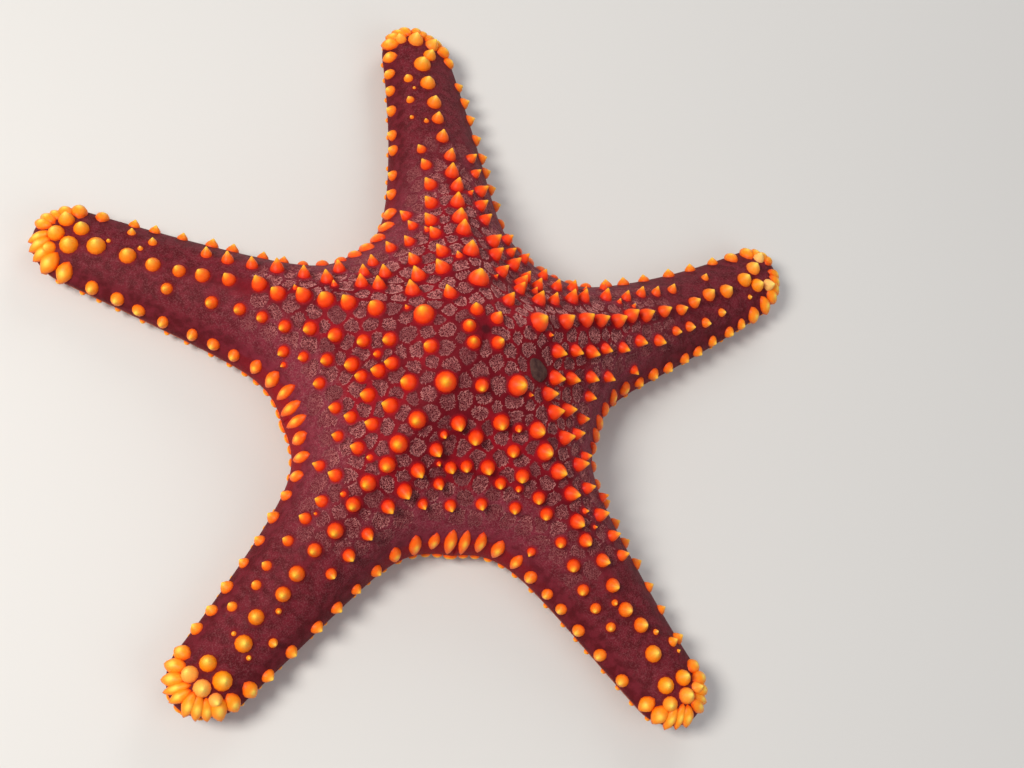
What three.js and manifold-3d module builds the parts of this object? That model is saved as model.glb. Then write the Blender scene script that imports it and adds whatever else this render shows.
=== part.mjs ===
// A panamic cushion star (Pentaceraster cumingi), life size, millimetres, +Z up.
// The origin is on the floor under the middle of the body's box. The animal lies on
// the two low ridges beside each arm's groove, the way it stands on a rock.
// The flesh is one closed body, parted by thin cuts into the disc and five arms, and
// the thorny tubercles are joined to the piece that they grow from.

import * as THREE from 'three';
import { mergeVertices } from 'three/addons/utils/BufferGeometryUtils.js';
import Module from 'manifold-3d';

// --- driving dimensions ------------------------------------------------------------

// Each arm: where it points (degrees round from +X), how far its tip is from the
// middle of the disc, how far the tip swings to the left, how far it curls up, how
// broad it is against the mean arm, and how far out the notch on its left lies.
const ARMS = [
  { name: 'c', direction: -52.6, length: 142, swing: -0.8, curl: 3.5, breadth: 0.94, notch: 57 },
  { name: 'b', direction: 20.8, length: 146, swing: 12, curl: 0, breadth: 0.98, notch: 57 },
  { name: 'a', direction: 93.4, length: 145, swing: 10, curl: 0, breadth: 0.98, notch: 57 },
  { name: 'e', direction: 166, length: 147.5, swing: -1.5, curl: 0, breadth: 0.97, notch: 61 },
  { name: 'd', direction: 236.7, length: 142, swing: -4.2, curl: 3, breadth: 0.94, notch: 62.5 },
];
const FULL_TURN = 360;
const NOTCH_RADIUS = 57;          // the rows across an arm leave the disc at this distance
const ARM_BASE_HALF_WIDTH = 24;
const ARM_MID_HALF_WIDTH = 17.4;
const ARM_TIP_HALF_WIDTH = 12.6;
const ARM_TIP_LENGTH = 13;        // the rounded end of an arm
const NOTCH_FLARE = 7;            // how soon a notch's curve runs into the arm's side
const SWING_START = 50;           // an arm's swing begins here, measured along it
const CURL_START = 0.72;          // share of an arm's length where its curl begins

const APEX_HEIGHT = 55.5;         // top of the disc over the floor
const MARGIN_HEIGHT = 7.5;        // the body is broadest at this height
const EDGE_ROUNDING = 9;          // the side wall rounds over within this distance
const NOTCH_STATION = 0.4;        // stations: 0 at the middle, 1 at an arm's tip
const RIDGE = [                   // station and height of an arm's ridge
  [0, APEX_HEIGHT], [0.12, 51.3], [0.25, 42], [0.42, 31.3],
  [0.58, 23.3], [0.75, 17.8], [0.9, 14.8], [1, 13.3],
];
const SHOULDER = [                // station and height above an arm's side
  [0, 18], [0.45, 16.6], [0.8, 13], [1, 11.5],
];
const VALLEY_FALL = 1.6;          // how the disc falls away between two arms' ridges
const DISC_SECTION = 0.35;        // share of a sharp ridge in the disc's cross-section
const SHARP_RIDGE = 1.5;
const ARM_SECTION = 1.7;          // an arm's cross-section falls with this power

const GROOVE_START = 9;           // arm groove on the underside
const GROOVE_TIP_GAP = 8;
const GROOVE_HALF_WIDTH = 3.1;
const GROOVE_DEPTH = 4.4;
const GROOVE_TIP_SHARE = 0.55;    // the groove narrows to this share at the tip
const FLAT_HALF_WIDTH = 7.2;      // the low ridges beside the groove, flat at the floor
const UNDERSIDE_RISE = 1.5;       // the rest of the underside clears the floor by this
const MOUTH_RADIUS = 8.5;
const MOUTH_DEPTH = 6;
const JAW_LENGTH = 5.5;
const JAW_HALF_WIDTH = 3;
const JAW_ROOT = 2;               // how far a jaw is set into the rim of the mouth
const JAW_BEND = 0.6;             // share of its length where a jaw starts to narrow
const JAW_BEND_WIDTH = 0.7;       // and its width there, against its root
const JAW_CLEARANCE = 0.6;        // the jaws stay this far off the floor
const CUTTER_SINK = 2;            // hollows are cut from this far under the floor
const SIEVE = {                   // the sieve plate, between two arms on the disc
  arm: 0, out: 22.3, across: 0.88, radius: 4.6, rise: 0.9, depth: 1.6, clearance: 0.3,
};

const ARM_BLOCK = { length: 120, width: 90, height: 160 };
const CUT_DISTANCE = 51.5;         // from the middle of the disc to an arm's cut
const CUT_GAP = 0.3;

const DISC_ROWS = 5;
const ARM_ROWS = 9;
const TOP_COLUMNS = 8;
const UNDER_SHOULDER = 0.86;      // share across where the underside rounds up
const FLAT_LIMIT = 0.7;           // most of an arm's width that the flats may take
const COLUMN_POWER = 0.85;       // below 1 the columns across an arm spread more evenly
const WELD = 0.002;

const FLESH = { color: 0x7c2a37, roughness: 0.62, metalness: 0 };
const PLATE = { color: 0x9a6a63, roughness: 0.7, metalness: 0 };

// --- the shape of the flesh ----------------------------------------------------------

const radians = THREE.MathUtils.degToRad;
const clamp = THREE.MathUtils.clamp;
const smooth = THREE.MathUtils.smoothstep;
const mix = THREE.MathUtils.lerp;

// A smooth curve through a few [place, height] pairs, level where it begins.
function curveThrough(pairs) {
  return (place) => {
    const last = pairs.length - 1;
    let i = 0;
    while (i < last - 1 && place > pairs[i + 1][0]) i += 1;
    const slopeAt = (k) => {
      if (k === 0) return 0;
      const before = pairs[k - 1];
      const after = pairs[Math.min(k + 1, last)];
      return (after[1] - before[1]) / (after[0] - before[0]);
    };
    const [x0, y0] = pairs[i];
    const [x1, y1] = pairs[i + 1];
    const span = x1 - x0;
    const f = clamp((place - x0) / span, 0, 1);
    const rise = f * f * (3 - 2 * f);
    const pull = f * (1 - f);
    return y0 + (y1 - y0) * rise + span * pull * ((1 - f) * slopeAt(i) - f * slopeAt(i + 1));
  };
}

const ridgeHeight = curveThrough(RIDGE);
const shoulderHeight = curveThrough(SHOULDER);

// Half the angle between an arm and its neighbour on the left (+1) or right (-1).
function halfGap(index, side) {
  const here = ARMS[index].direction;
  const other = ARMS[(index + side + ARMS.length) % ARMS.length].direction;
  const turn = (((other - here) * side) % FULL_TURN + FULL_TURN) % FULL_TURN;
  return radians(turn / 2);
}

// How far from the middle the notch on an arm's left (+1) or right (-1) lies.
function notchDistance(index, side) {
  return ARMS[side > 0 ? index : (index + ARMS.length - 1) % ARMS.length].notch;
}

// An arm's half width with straight sides, at a share of the way from notch to tip.
function sideWidth(arm, share) {
  const bulge = ARM_MID_HALF_WIDTH - (ARM_BASE_HALF_WIDTH + ARM_TIP_HALF_WIDTH) / 2;
  const straight = mix(ARM_BASE_HALF_WIDTH, ARM_TIP_HALF_WIDTH, share);
  return arm.breadth * (straight + bulge * 4 * share * (1 - share));
}

const FAN_SLOPE = 0.56;           // how the rows of the disc fan out from its middle
const FAN_BLEND = 4;
const FAN_START = 4;

// Plan place of the point a distance out along an arm (mm) and across it (-1 to 1),
// in the arm's own frame: x along the arm, y to its left.
function planInArm(index, out, across) {
  const arm = ARMS[index];
  const side = across < 0 ? -1 : 1;
  const reach = Math.abs(across);
  const gap = halfGap(index, side);
  const notchX = notchDistance(index, side) * Math.cos(gap);
  const notchY = notchDistance(index, side) * Math.sin(gap);
  const inDisc = clamp(out / NOTCH_RADIUS, 0, 1);
  const beyond = clamp((out - NOTCH_RADIUS) / (arm.length - NOTCH_RADIUS), 0, 1);
  const sag = (NOTCH_RADIUS - notchX) * (out < NOTCH_RADIUS ? inDisc : (1 - beyond) ** 2);
  const edgeX = out - sag;
  const share = clamp((edgeX - notchX) / (arm.length - notchX), 0, 1);
  const pastTip = clamp((edgeX - arm.length + ARM_TIP_LENGTH) / ARM_TIP_LENGTH, 0, 1);
  const cap = Math.sqrt(1 - pastTip ** 2);
  const flare = (notchY - sideWidth(arm, 0)) * Math.exp(-Math.max(edgeX - notchX, 0) / NOTCH_FLARE);
  const armEdge = (sideWidth(arm, share) + flare) * cap;
  const edge = out < NOTCH_RADIUS ? notchY * inDisc : armEdge;
  const fan = Math.exp(-FAN_SLOPE * out / FAN_BLEND);
  const straight = Math.exp(-sideWidth(arm, share) * cap / FAN_BLEND);
  const eased = -FAN_BLEND * Math.log(fan + straight) * smooth(out, 0, FAN_START);
  const inner = mix(eased, sideWidth(arm, share) * cap, smooth(beyond, 0.4, 0.6));
  const edgeShare = reach ** 3;
  const swung = Math.max(out - sag * reach ** 2 - SWING_START, 0) / (arm.length - SWING_START);
  return [
    out - sag * reach ** 2,
    side * reach * mix(inner, edge, edgeShare) + arm.swing * swung ** 2,
  ];
}

// The station of a distance along an arm; the same on every arm out to the notches.
function stationOf(arm, out) {
  if (out < NOTCH_RADIUS) return (NOTCH_STATION * out) / NOTCH_RADIUS;
  return mix(NOTCH_STATION, 1, (out - NOTCH_RADIUS) / (arm.length - NOTCH_RADIUS));
}

function plan(index, out, across) {
  const [x, y] = planInArm(index, out, across);
  const turn = radians(ARMS[index].direction);
  return new THREE.Vector2(
    Math.cos(turn) * x - Math.sin(turn) * y,
    Math.sin(turn) * x + Math.cos(turn) * y,
  );
}

// The margin of the whole star, as short straight stretches.
const MARGIN_STEPS = 48;
const margin = [];
ARMS.forEach((arm, index) => {
  for (const side of [-1, 1]) {
    for (let k = 0; k < MARGIN_STEPS; k += 1) {
      const ends = [k, k + 1].map((step) => {
        const share = Math.sin((step / MARGIN_STEPS) * (Math.PI / 2));
        return plan(index, mix(NOTCH_RADIUS, arm.length, share), side);
      });
      margin.push(ends);
    }
  }
});

function distanceToMargin(point, out, across) {
  if (out >= NOTCH_RADIUS && Math.abs(across) === 1) return 0;
  let nearest = Infinity;
  for (const [start, end] of margin) {
    const run = end.clone().sub(start);
    const reach = point.clone().sub(start);
    const share = clamp(reach.dot(run) / run.lengthSq(), 0, 1);
    nearest = Math.min(nearest, reach.sub(run.multiplyScalar(share)).length());
  }
  return nearest;
}

function curlLift(arm, out) {
  return arm.curl * Math.max((out / arm.length - CURL_START) / (1 - CURL_START), 0) ** 2;
}

// How far a rounded edge has risen at a distance in from the margin, 0 to 1.
function edgeRise(distance, rounding) {
  return Math.sqrt(1 - (1 - clamp(distance / rounding, 0, 1)) ** 2);
}

const NOTCH_FALL = ridgeHeight(NOTCH_STATION) - shoulderHeight(NOTCH_STATION);

function topPoint(index, out, across) {
  const arm = ARMS[index];
  const place = plan(index, out, across);
  const reach = Math.abs(across);
  const station = stationOf(arm, out);
  const inDisc = clamp(out / NOTCH_RADIUS, 0, 1);
  const ridge = ridgeHeight(station);
  const fall = NOTCH_FALL * inDisc ** VALLEY_FALL;
  const valley = out < NOTCH_RADIUS ? ridge - fall : shoulderHeight(station);
  const wave = 0.5 + 0.5 * Math.cos(Math.PI * reach);
  const discSection = mix(wave, 1 - reach ** SHARP_RIDGE, DISC_SECTION);
  const section = mix(discSection, 1 - reach ** ARM_SECTION, smooth(inDisc, 0.5, 1));
  const crown = valley + (ridge - valley) * section;
  const rise = edgeRise(distanceToMargin(place, out, across), EDGE_ROUNDING);
  const height = MARGIN_HEIGHT + (crown - MARGIN_HEIGHT) * rise + curlLift(arm, out);
  return new THREE.Vector3(place.x, place.y, height);
}

const UNDER_ROUNDING = 5;
const FLAT_SLOPE = 3;             // mm over which the underside rises from the flats

function underPoint(index, out, across) {
  const arm = ARMS[index];
  const place = plan(index, out, across);
  const [, middle] = planInArm(index, out, 0);
  const offAxis = Math.abs(planInArm(index, out, across)[1] - middle);
  const rise = edgeRise(distanceToMargin(place, out, across), UNDER_ROUNDING);
  const ground = UNDERSIDE_RISE * clamp((offAxis - FLAT_HALF_WIDTH) / FLAT_SLOPE, 0, 1);
  const height = MARGIN_HEIGHT + (ground - MARGIN_HEIGHT) * rise + curlLift(arm, out);
  return new THREE.Vector3(place.x, place.y, height);
}

// The place across an arm that lies a given number of millimetres off its ridge.
function acrossAt(index, out, offset) {
  const middle = planInArm(index, out, 0)[1];
  let low = -1;
  let high = 1;
  for (let k = 0; k < 30; k += 1) {
    const half = (low + high) / 2;
    if (planInArm(index, out, half)[1] - middle < offset) low = half;
    else high = half;
  }
  return (low + high) / 2;
}

// --- closed bodies -------------------------------------------------------------------

const wasm = await Module();
wasm.setup();

function solidOf(geometry) {
  const bare = geometry.clone();
  for (const name of Object.keys(bare.attributes)) {
    if (name !== 'position') bare.deleteAttribute(name);
  }
  const merged = mergeVertices(bare.index ? bare.toNonIndexed() : bare, WELD);
  const corners = [];
  for (let i = 0; i < merged.index.count; i += 3) {
    const [a, b, c] = [0, 1, 2].map((k) => merged.index.getX(i + k));
    if (a !== b && b !== c && c !== a) corners.push(a, b, c);
  }
  return new wasm.Manifold(new wasm.Mesh({
    numProp: 3,
    vertProperties: new Float32Array(merged.attributes.position.array),
    triVerts: new Uint32Array(corners),
  }));
}

function geometryOf(solid) {
  const mesh = solid.getMesh();
  const geometry = new THREE.BufferGeometry();
  const places = new Float32Array(mesh.numVert * 3);
  for (let i = 0; i < mesh.numVert; i += 1) {
    for (let k = 0; k < 3; k += 1) {
      places[3 * i + k] = mesh.vertProperties[mesh.numProp * i + k];
    }
  }
  geometry.setAttribute('position', new THREE.BufferAttribute(places, 3));
  geometry.setIndex(new THREE.BufferAttribute(new Uint32Array(mesh.triVerts), 1));
  geometry.computeVertexNormals();
  return geometry;
}

// A grid of points made into triangles; flip turns the faces over.
function pushGrid(positions, rows, flip) {
  for (let i = 0; i + 1 < rows.length; i += 1) {
    for (let j = 0; j + 1 < rows[i].length; j += 1) {
      const [p, q] = [rows[i][j], rows[i][j + 1]];
      const [r, s] = [rows[i + 1][j], rows[i + 1][j + 1]];
      const faces = flip ? [[p, q, r], [r, q, s]] : [[p, r, q], [q, r, s]];
      for (const face of faces) {
        for (const point of face) positions.push(point.x, point.y, point.z);
      }
    }
  }
}

function rowDistances(arm) {
  const rows = [];
  for (let k = 0; k <= DISC_ROWS; k += 1) rows.push(NOTCH_RADIUS * (k / DISC_ROWS));
  for (let k = 1; k <= ARM_ROWS; k += 1) {
    const share = (1 - Math.cos((Math.PI * k) / ARM_ROWS)) / 2;
    rows.push(mix(NOTCH_RADIUS, arm.length, share));
  }
  return rows;
}

// Columns across an arm, closer together towards its two sides.
function columnPlaces(count) {
  return Array.from({ length: count + 1 }, (_, j) => {
    const even = (2 * j) / count - 1;
    return Math.sign(even) * Math.sin(Math.abs(even) * (Math.PI / 2)) ** COLUMN_POWER;
  });
}

// Columns under an arm: its two sides, the edges of the flats and the middle line.
function underPlaces(index, out) {
  const flat = Math.min(acrossAt(index, out, FLAT_HALF_WIDTH), FLAT_LIMIT);
  return [-1, -UNDER_SHOULDER, -flat, 0, flat, UNDER_SHOULDER, 1];
}

function fleshBody() {
  const positions = [];
  const topPlaces = columnPlaces(TOP_COLUMNS);
  ARMS.forEach((arm, index) => {
    const distances = rowDistances(arm);
    const top = distances.map((out) => topPlaces
      .map((across) => topPoint(index, out, across)));
    const under = distances.map((out) => underPlaces(index, out)
      .map((across) => underPoint(index, out, across)));
    pushGrid(positions, top, false);
    pushGrid(positions, under, true);
  });
  const geometry = new THREE.BufferGeometry();
  geometry.setAttribute('position', new THREE.Float32BufferAttribute(positions, 3));
  return solidOf(geometry);
}

// --- tubercles ------------------------------------------------------------------------

const WOBBLE = { turn: 12.9898, swell: 43758.5453 };

// A steady, repeatable wobble between -1 and 1 for the nth tubercle of a row.
function wobble(n) {
  const wave = Math.sin(n * WOBBLE.turn) * WOBBLE.swell;
  return 2 * (wave - Math.floor(wave)) - 1;
}

// Rows of tubercles, each as: mm out to the first, spacing, number, mm off the ridge at
// the start and at the end of the row, and width of the first and the last tubercle.
const PRIMARY = { out: 20.5, width: 6.7 };
const SECOND = { out: 33.8, width: 5.5 };
const RIDGE_ROW = { out: 42.7, step: 7.2, growth: 0.12, tipGap: 18, jitter: 1.3 };
const RIDGE_WIDTHS = curveThrough([[0.3, 5.3], [0.62, 4.6], [0.82, 5.6], [1, 7.2]]);
const SIDE_ROWS = [
  { out: 27.5, step: 8.2, count: 8, start: 9.8, end: 8, width: 4.9, last: 3.6 },
  { out: 30, step: 7.6, count: 4, start: 17.8, end: 16.4, width: 4.6, last: 3.9 },
];
const ROW_JITTER = { out: 1.6, offset: 1 };
const GAP_ROW = { outs: [16, 26.5, 36.5], widths: [4.4, 4.2, 3.9] };
const GAP_PAIR = { out: 46.5, spread: 6, width: 3.9 };
const CROWN_RING = { out: 6.4, jitter: 1.6, across: 0.9, width: 4.3 };
const UPPER_MARGIN = { count: 12, width: 3.4, notchWidth: 3.8, tipWidth: 4.4, inset: 3 };
const NOTCH_END = { from: 0, to: 0.3 };     // share of the margin over which its plates
const TIP_END = { from: 0.65, to: 0.95 };   // change from one width to the next
const TIP_CROWN = [               // mm short of the tip, mm off the ridge, width
  [12.6, -3.3, 5.8], [11.4, 3.6, 5.9], [5.2, -3.9, 5], [5.8, 3.3, 5.2],
];
const SEED = {                    // which part of the wobble each row takes its own from
  arm: 100, along: 2, off: 20, sides: 40, sideRow: 20, left: 10, gap: 80, ring: 900, ringOff: 920,
};
const HALF_SEED = 0.5;
const FRAME_STEP = { along: 0.5, across: 0.03 };   // how far off a slope is measured
const WAISTED = 6;                // from this width a tubercle gets a waist
const BROAD = 5;                  // from this width it gets more sides
const BROAD_SIDES = 5;
const SLIM_SIDES = 4;
const WAISTED_HEIGHT = 0.74;       // height against width of the waisted tubercles
const SLIM_HEIGHT = 0.92;
const WAIST = { radius: 0.62, height: 0.45 };
const FOOT_SPREAD = 1.12;         // a tubercle's buried foot against its width
const TUBERCLE_SINK = 1.1;
const CUT_CLEARANCE = 0.35;

// Keeps a tubercle off the cut between disc and arm.
function clearOfCut(index, out, across, width) {
  const turn = width / 2 + CUT_CLEARANCE;
  const x = planInArm(index, out, across)[0];
  const middle = CUT_DISTANCE + CUT_GAP / 2;
  if (Math.abs(x - middle) >= turn) return out;
  return out + (x < middle ? middle - turn - x : middle + turn - x);
}

function tubercle(index, out, across, width) {
  return { index, out: clearOfCut(index, out, across, width), across, width };
}

function ridgeTubercles(index, seed) {
  const list = [
    tubercle(index, PRIMARY.out + wobble(seed), 0, PRIMARY.width),
    tubercle(index, SECOND.out + wobble(seed + 1), 0, SECOND.width),
  ];
  let place = RIDGE_ROW.out;
  for (let k = 0; place < ARMS[index].length - RIDGE_ROW.tipGap; k += 1) {
    const out = place + wobble(seed + SEED.along + k);
    const across = acrossAt(index, out, RIDGE_ROW.jitter * wobble(seed + SEED.off + k));
    list.push(tubercle(index, out, across, RIDGE_WIDTHS(stationOf(ARMS[index], out))));
    place += RIDGE_ROW.step + RIDGE_ROW.growth * k;
  }
  return list;
}

function sideTubercles(index, seed) {
  const list = [];
  SIDE_ROWS.forEach((row, order) => {
    for (const side of [-1, 1]) {
      for (let k = 0; k < row.count; k += 1) {
        const key = seed + SEED.sides + SEED.sideRow * order + k + (side > 0 ? SEED.left : 0);
        const out = row.out + row.step * k + ROW_JITTER.out * wobble(key);
        const share = k / (row.count - 1);
        const offset = mix(row.start, row.end, share) + ROW_JITTER.offset * wobble(key + HALF_SEED);
        const across = acrossAt(index, out, side * offset);
        list.push(tubercle(index, out, across, mix(row.width, row.last, share)));
      }
    }
  });
  return list;
}

// The tubercles between two arms: a row that runs in to the middle of the disc, and a
// pair at its outer end. One more belongs to the ring round the very middle.
function gapTubercles(index, seed) {
  const list = GAP_ROW.outs.map((out, k) => (
    tubercle(index, out + wobble(seed + SEED.gap + k), 1, GAP_ROW.widths[k])));
  for (const side of [-1, 1]) {
    const reach = 1 - GAP_PAIR.spread / (2 * Math.sin(halfGap(index, side)) * GAP_PAIR.out);
    list.push(tubercle(index, GAP_PAIR.out, side * reach, GAP_PAIR.width));
  }
  const out = CROWN_RING.out + CROWN_RING.jitter * wobble(SEED.ring + index);
  const across = CROWN_RING.across * wobble(SEED.ringOff + index);
  list.push(tubercle(index, out, across, CROWN_RING.width));
  return list;
}

// The upper of the two rows of plates along the margin, and the crown over the tip.
function marginTubercles(index) {
  const list = [];
  const { length } = ARMS[index];
  const { count, width, notchWidth, tipWidth, inset } = UPPER_MARGIN;
  for (const side of [-1, 1]) {
    for (let k = 0; k < count; k += 1) {
      const share = (k + 0.5) / count;
      const out = mix(NOTCH_RADIUS, length - inset, share);
      const [, edge] = planInArm(index, out, side);
      const reach = 1 - inset / Math.abs(edge - planInArm(index, out, 0)[1]);
      const middle = mix(notchWidth, width, smooth(share, NOTCH_END.from, NOTCH_END.to));
      const broad = mix(middle, tipWidth, smooth(share, TIP_END.from, TIP_END.to));
      list.push(tubercle(index, out, side * reach, broad));
    }
  }
  for (const [gap, offset, broad] of TIP_CROWN) {
    const out = length - gap;
    list.push(tubercle(index, out, acrossAt(index, out, offset), broad));
  }
  return list;
}

// All that grow from an arm's sector, but none through the sieve plate.
function tuberclesOfArm(index) {
  const seed = SEED.arm * (index + 1);
  const sieve = topPoint(SIEVE.arm, SIEVE.out, SIEVE.across);
  return [
    ...ridgeTubercles(index, seed),
    ...sideTubercles(index, seed),
    ...gapTubercles(index, seed),
    ...marginTubercles(index),
  ].filter(({ out, across, width }) => (
    topPoint(index, out, across).distanceTo(sieve) > SIEVE.radius + width / 2 + SIEVE.clearance));
}

// The place and the outward normal of a point on the upper side.
function surfaceFrame(index, out, across) {
  const here = topPoint(index, out, across);
  const behind = topPoint(index, out - FRAME_STEP.along, across);
  const along = topPoint(index, out + FRAME_STEP.along, across).sub(behind);
  const inward = across > 0 ? -1 : 1;
  const beside = topPoint(index, out, across + inward * FRAME_STEP.across);
  const aside = beside.sub(here).multiplyScalar(inward);
  return { here, up: along.cross(aside).normalize() };
}

// A blunt thorn: a broad foot that draws in to a small tip.
function tubercleSolid({ index, out, across, width }) {
  const { here, up } = surfaceFrame(index, out, across);
  const radius = width / 2;
  const waisted = width >= WAISTED;
  const height = width * (waisted ? WAISTED_HEIGHT : SLIM_HEIGHT);
  const foot = [
    new THREE.Vector2(0, -TUBERCLE_SINK),
    new THREE.Vector2(radius * FOOT_SPREAD, -TUBERCLE_SINK),
  ];
  const waist = new THREE.Vector2(radius * WAIST.radius, height * WAIST.height);
  const profile = [...foot, ...(waisted ? [waist] : []), new THREE.Vector2(0, height)];
  const thorn = new THREE.LatheGeometry(profile, width >= BROAD ? BROAD_SIDES : SLIM_SIDES);
  thorn.rotateX(Math.PI / 2);
  thorn.applyQuaternion(new THREE.Quaternion()
    .setFromUnitVectors(new THREE.Vector3(0, 0, 1), up));
  thorn.translate(here.x, here.y, here.z);
  return solidOf(thorn);
}

// --- underside ------------------------------------------------------------------------

const GROOVE_STEPS = 6;
const GROOVE_FOOT = 1.05;         // the groove's half section: half widths at the floor
const GROOVE_ROOF = 0.5;          // and at its roof, against the half width above

// The groove under an arm, as a closed wedge that follows the arm's swing and curl.
function grooveSolid(index) {
  const arm = ARMS[index];
  const rings = [];
  const end = arm.length - GROOVE_TIP_GAP;
  for (let k = 0; k <= GROOVE_STEPS; k += 1) {
    const out = mix(GROOVE_START, end, k / GROOVE_STEPS);
    const size = mix(1, GROOVE_TIP_SHARE, k / GROOVE_STEPS);
    const middle = plan(index, out, 0);
    const ahead = plan(index, out + 1, 0).sub(middle).normalize();
    const lift = curlLift(arm, out);
    const roof = GROOVE_DEPTH * size;
    const section = [
      [-GROOVE_FOOT, -CUTTER_SINK], [-GROOVE_ROOF, roof],
      [GROOVE_ROOF, roof], [GROOVE_FOOT, -CUTTER_SINK],
    ];
    rings.push(section.map(([aside, up]) => {
      const off = aside * GROOVE_HALF_WIDTH * size;
      return new THREE.Vector3(middle.x - ahead.y * off, middle.y + ahead.x * off, lift + up);
    }));
  }
  const positions = [];
  const closed = rings.map((ring) => [...ring, ring[0]]);
  pushGrid(positions, closed, false);
  for (const [ring, turned] of [[rings[0], false], [rings[GROOVE_STEPS], true]]) {
    for (let j = 1; j + 1 < ring.length; j += 1) {
      const face = turned ? [ring[0], ring[j + 1], ring[j]] : [ring[0], ring[j], ring[j + 1]];
      for (const point of face) positions.push(point.x, point.y, point.z);
    }
  }
  const geometry = new THREE.BufferGeometry();
  geometry.setAttribute('position', new THREE.Float32BufferAttribute(positions, 3));
  return solidOf(geometry);
}

const BOWL_SIDES = 15;
const BOWL = { mouth: 1.1, waist: 0.6, waistHeight: 0.8 };

// The mouth: a bowl at the middle of the underside, with five jaws that point into it.
function mouthSolid() {
  const bowl = new THREE.LatheGeometry([
    new THREE.Vector2(0, -CUTTER_SINK),
    new THREE.Vector2(MOUTH_RADIUS * BOWL.mouth, -CUTTER_SINK),
    new THREE.Vector2(MOUTH_RADIUS, 0),
    new THREE.Vector2(MOUTH_RADIUS * BOWL.waist, MOUTH_DEPTH * BOWL.waistHeight),
    new THREE.Vector2(0, MOUTH_DEPTH),
  ], BOWL_SIDES);
  return solidOf(bowl.rotateX(Math.PI / 2));
}

function jawSolid(index) {
  const angle = radians(ARMS[index].direction) + halfGap(index, 1);
  const root = MOUTH_RADIUS + JAW_ROOT;
  const bend = MOUTH_RADIUS - JAW_LENGTH * JAW_BEND;
  const bendHalfWidth = JAW_HALF_WIDTH * JAW_BEND_WIDTH;
  const outline = new THREE.Shape([
    new THREE.Vector2(root, -JAW_HALF_WIDTH),
    new THREE.Vector2(root, JAW_HALF_WIDTH),
    new THREE.Vector2(bend, bendHalfWidth),
    new THREE.Vector2(MOUTH_RADIUS - JAW_LENGTH, 0),
    new THREE.Vector2(bend, -bendHalfWidth),
  ]);
  const jaw = new THREE.ExtrudeGeometry(outline, { depth: MOUTH_DEPTH, bevelEnabled: false });
  jaw.translate(0, 0, JAW_CLEARANCE);
  return solidOf(jaw.rotateZ(angle));
}

// --- the pieces -----------------------------------------------------------------------

// A block as wide as an arm's whole sector, beyond the cut at the arm's root.
function armBlock(index, from) {
  const block = new THREE.BoxGeometry(ARM_BLOCK.length, ARM_BLOCK.width, ARM_BLOCK.height);
  block.translate(from + ARM_BLOCK.length / 2, 0, 0);
  return solidOf(block.rotateZ(radians(ARMS[index].direction)));
}

const DOME = { sides: 12, root: 0.8, shoulder: 0.75 };

// The sieve plate through which the animal draws water, a low dome on the disc.
function sievePlate(grow) {
  const radius = SIEVE.radius + grow;
  const rise = SIEVE.rise + grow;
  const dome = new THREE.LatheGeometry([
    new THREE.Vector2(0, -SIEVE.depth - grow),
    new THREE.Vector2(radius * DOME.root, -SIEVE.depth - grow),
    new THREE.Vector2(radius, 0),
    new THREE.Vector2(radius * DOME.shoulder, rise * DOME.shoulder),
    new THREE.Vector2(0, rise),
  ], DOME.sides);
  dome.rotateX(Math.PI / 2);
  const { here, up } = surfaceFrame(SIEVE.arm, SIEVE.out, SIEVE.across);
  dome.applyQuaternion(new THREE.Quaternion()
    .setFromUnitVectors(new THREE.Vector3(0, 0, 1), up));
  dome.translate(here.x, here.y, here.z);
  return solidOf(dome);
}

function wholeBody() {
  let whole = fleshBody();
  const grown = ARMS.flatMap((arm, index) => tuberclesOfArm(index)).map(tubercleSolid);
  for (const thorn of grown) whole = whole.add(thorn);
  whole = whole.subtract(mouthSolid());
  ARMS.forEach((arm, index) => {
    whole = whole.subtract(grooveSolid(index));
  });
  ARMS.forEach((arm, index) => {
    whole = whole.add(jawSolid(index));
  });
  return whole;
}

const whole = wholeBody();
const group = new THREE.Group();

// Everything is moved so that the origin is under the middle of the body's box.
const box = whole.boundingBox();
const centre = [0, 1].map((k) => (box.min[k] + box.max[k]) / 2);

function addPiece(name, solid, material) {
  const piece = new THREE.Mesh(geometryOf(solid), new THREE.MeshStandardMaterial(material));
  piece.name = name;
  piece.position.set(-centre[0], -centre[1], 0);
  group.add(piece);
}

let disc = whole.subtract(sievePlate(CUT_GAP));
ARMS.forEach((arm, index) => {
  disc = disc.subtract(armBlock(index, CUT_DISTANCE));
});
addPiece('disc', disc, FLESH);
ARMS.forEach((arm, index) => {
  addPiece(`arm_${arm.name}`, whole.intersect(armBlock(index, CUT_DISTANCE + CUT_GAP)), FLESH);
});
addPiece('sieve_plate', sievePlate(0), PLATE);

export default group;
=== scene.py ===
from itertools import product
from math import atan2, ceil, cos, degrees, exp, hypot, pi, radians, sin, sqrt

import bpy
import numpy as np
from mathutils import Matrix, Vector
from mathutils.bvhtree import BVHTree
from numpy.linalg import norm


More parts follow.
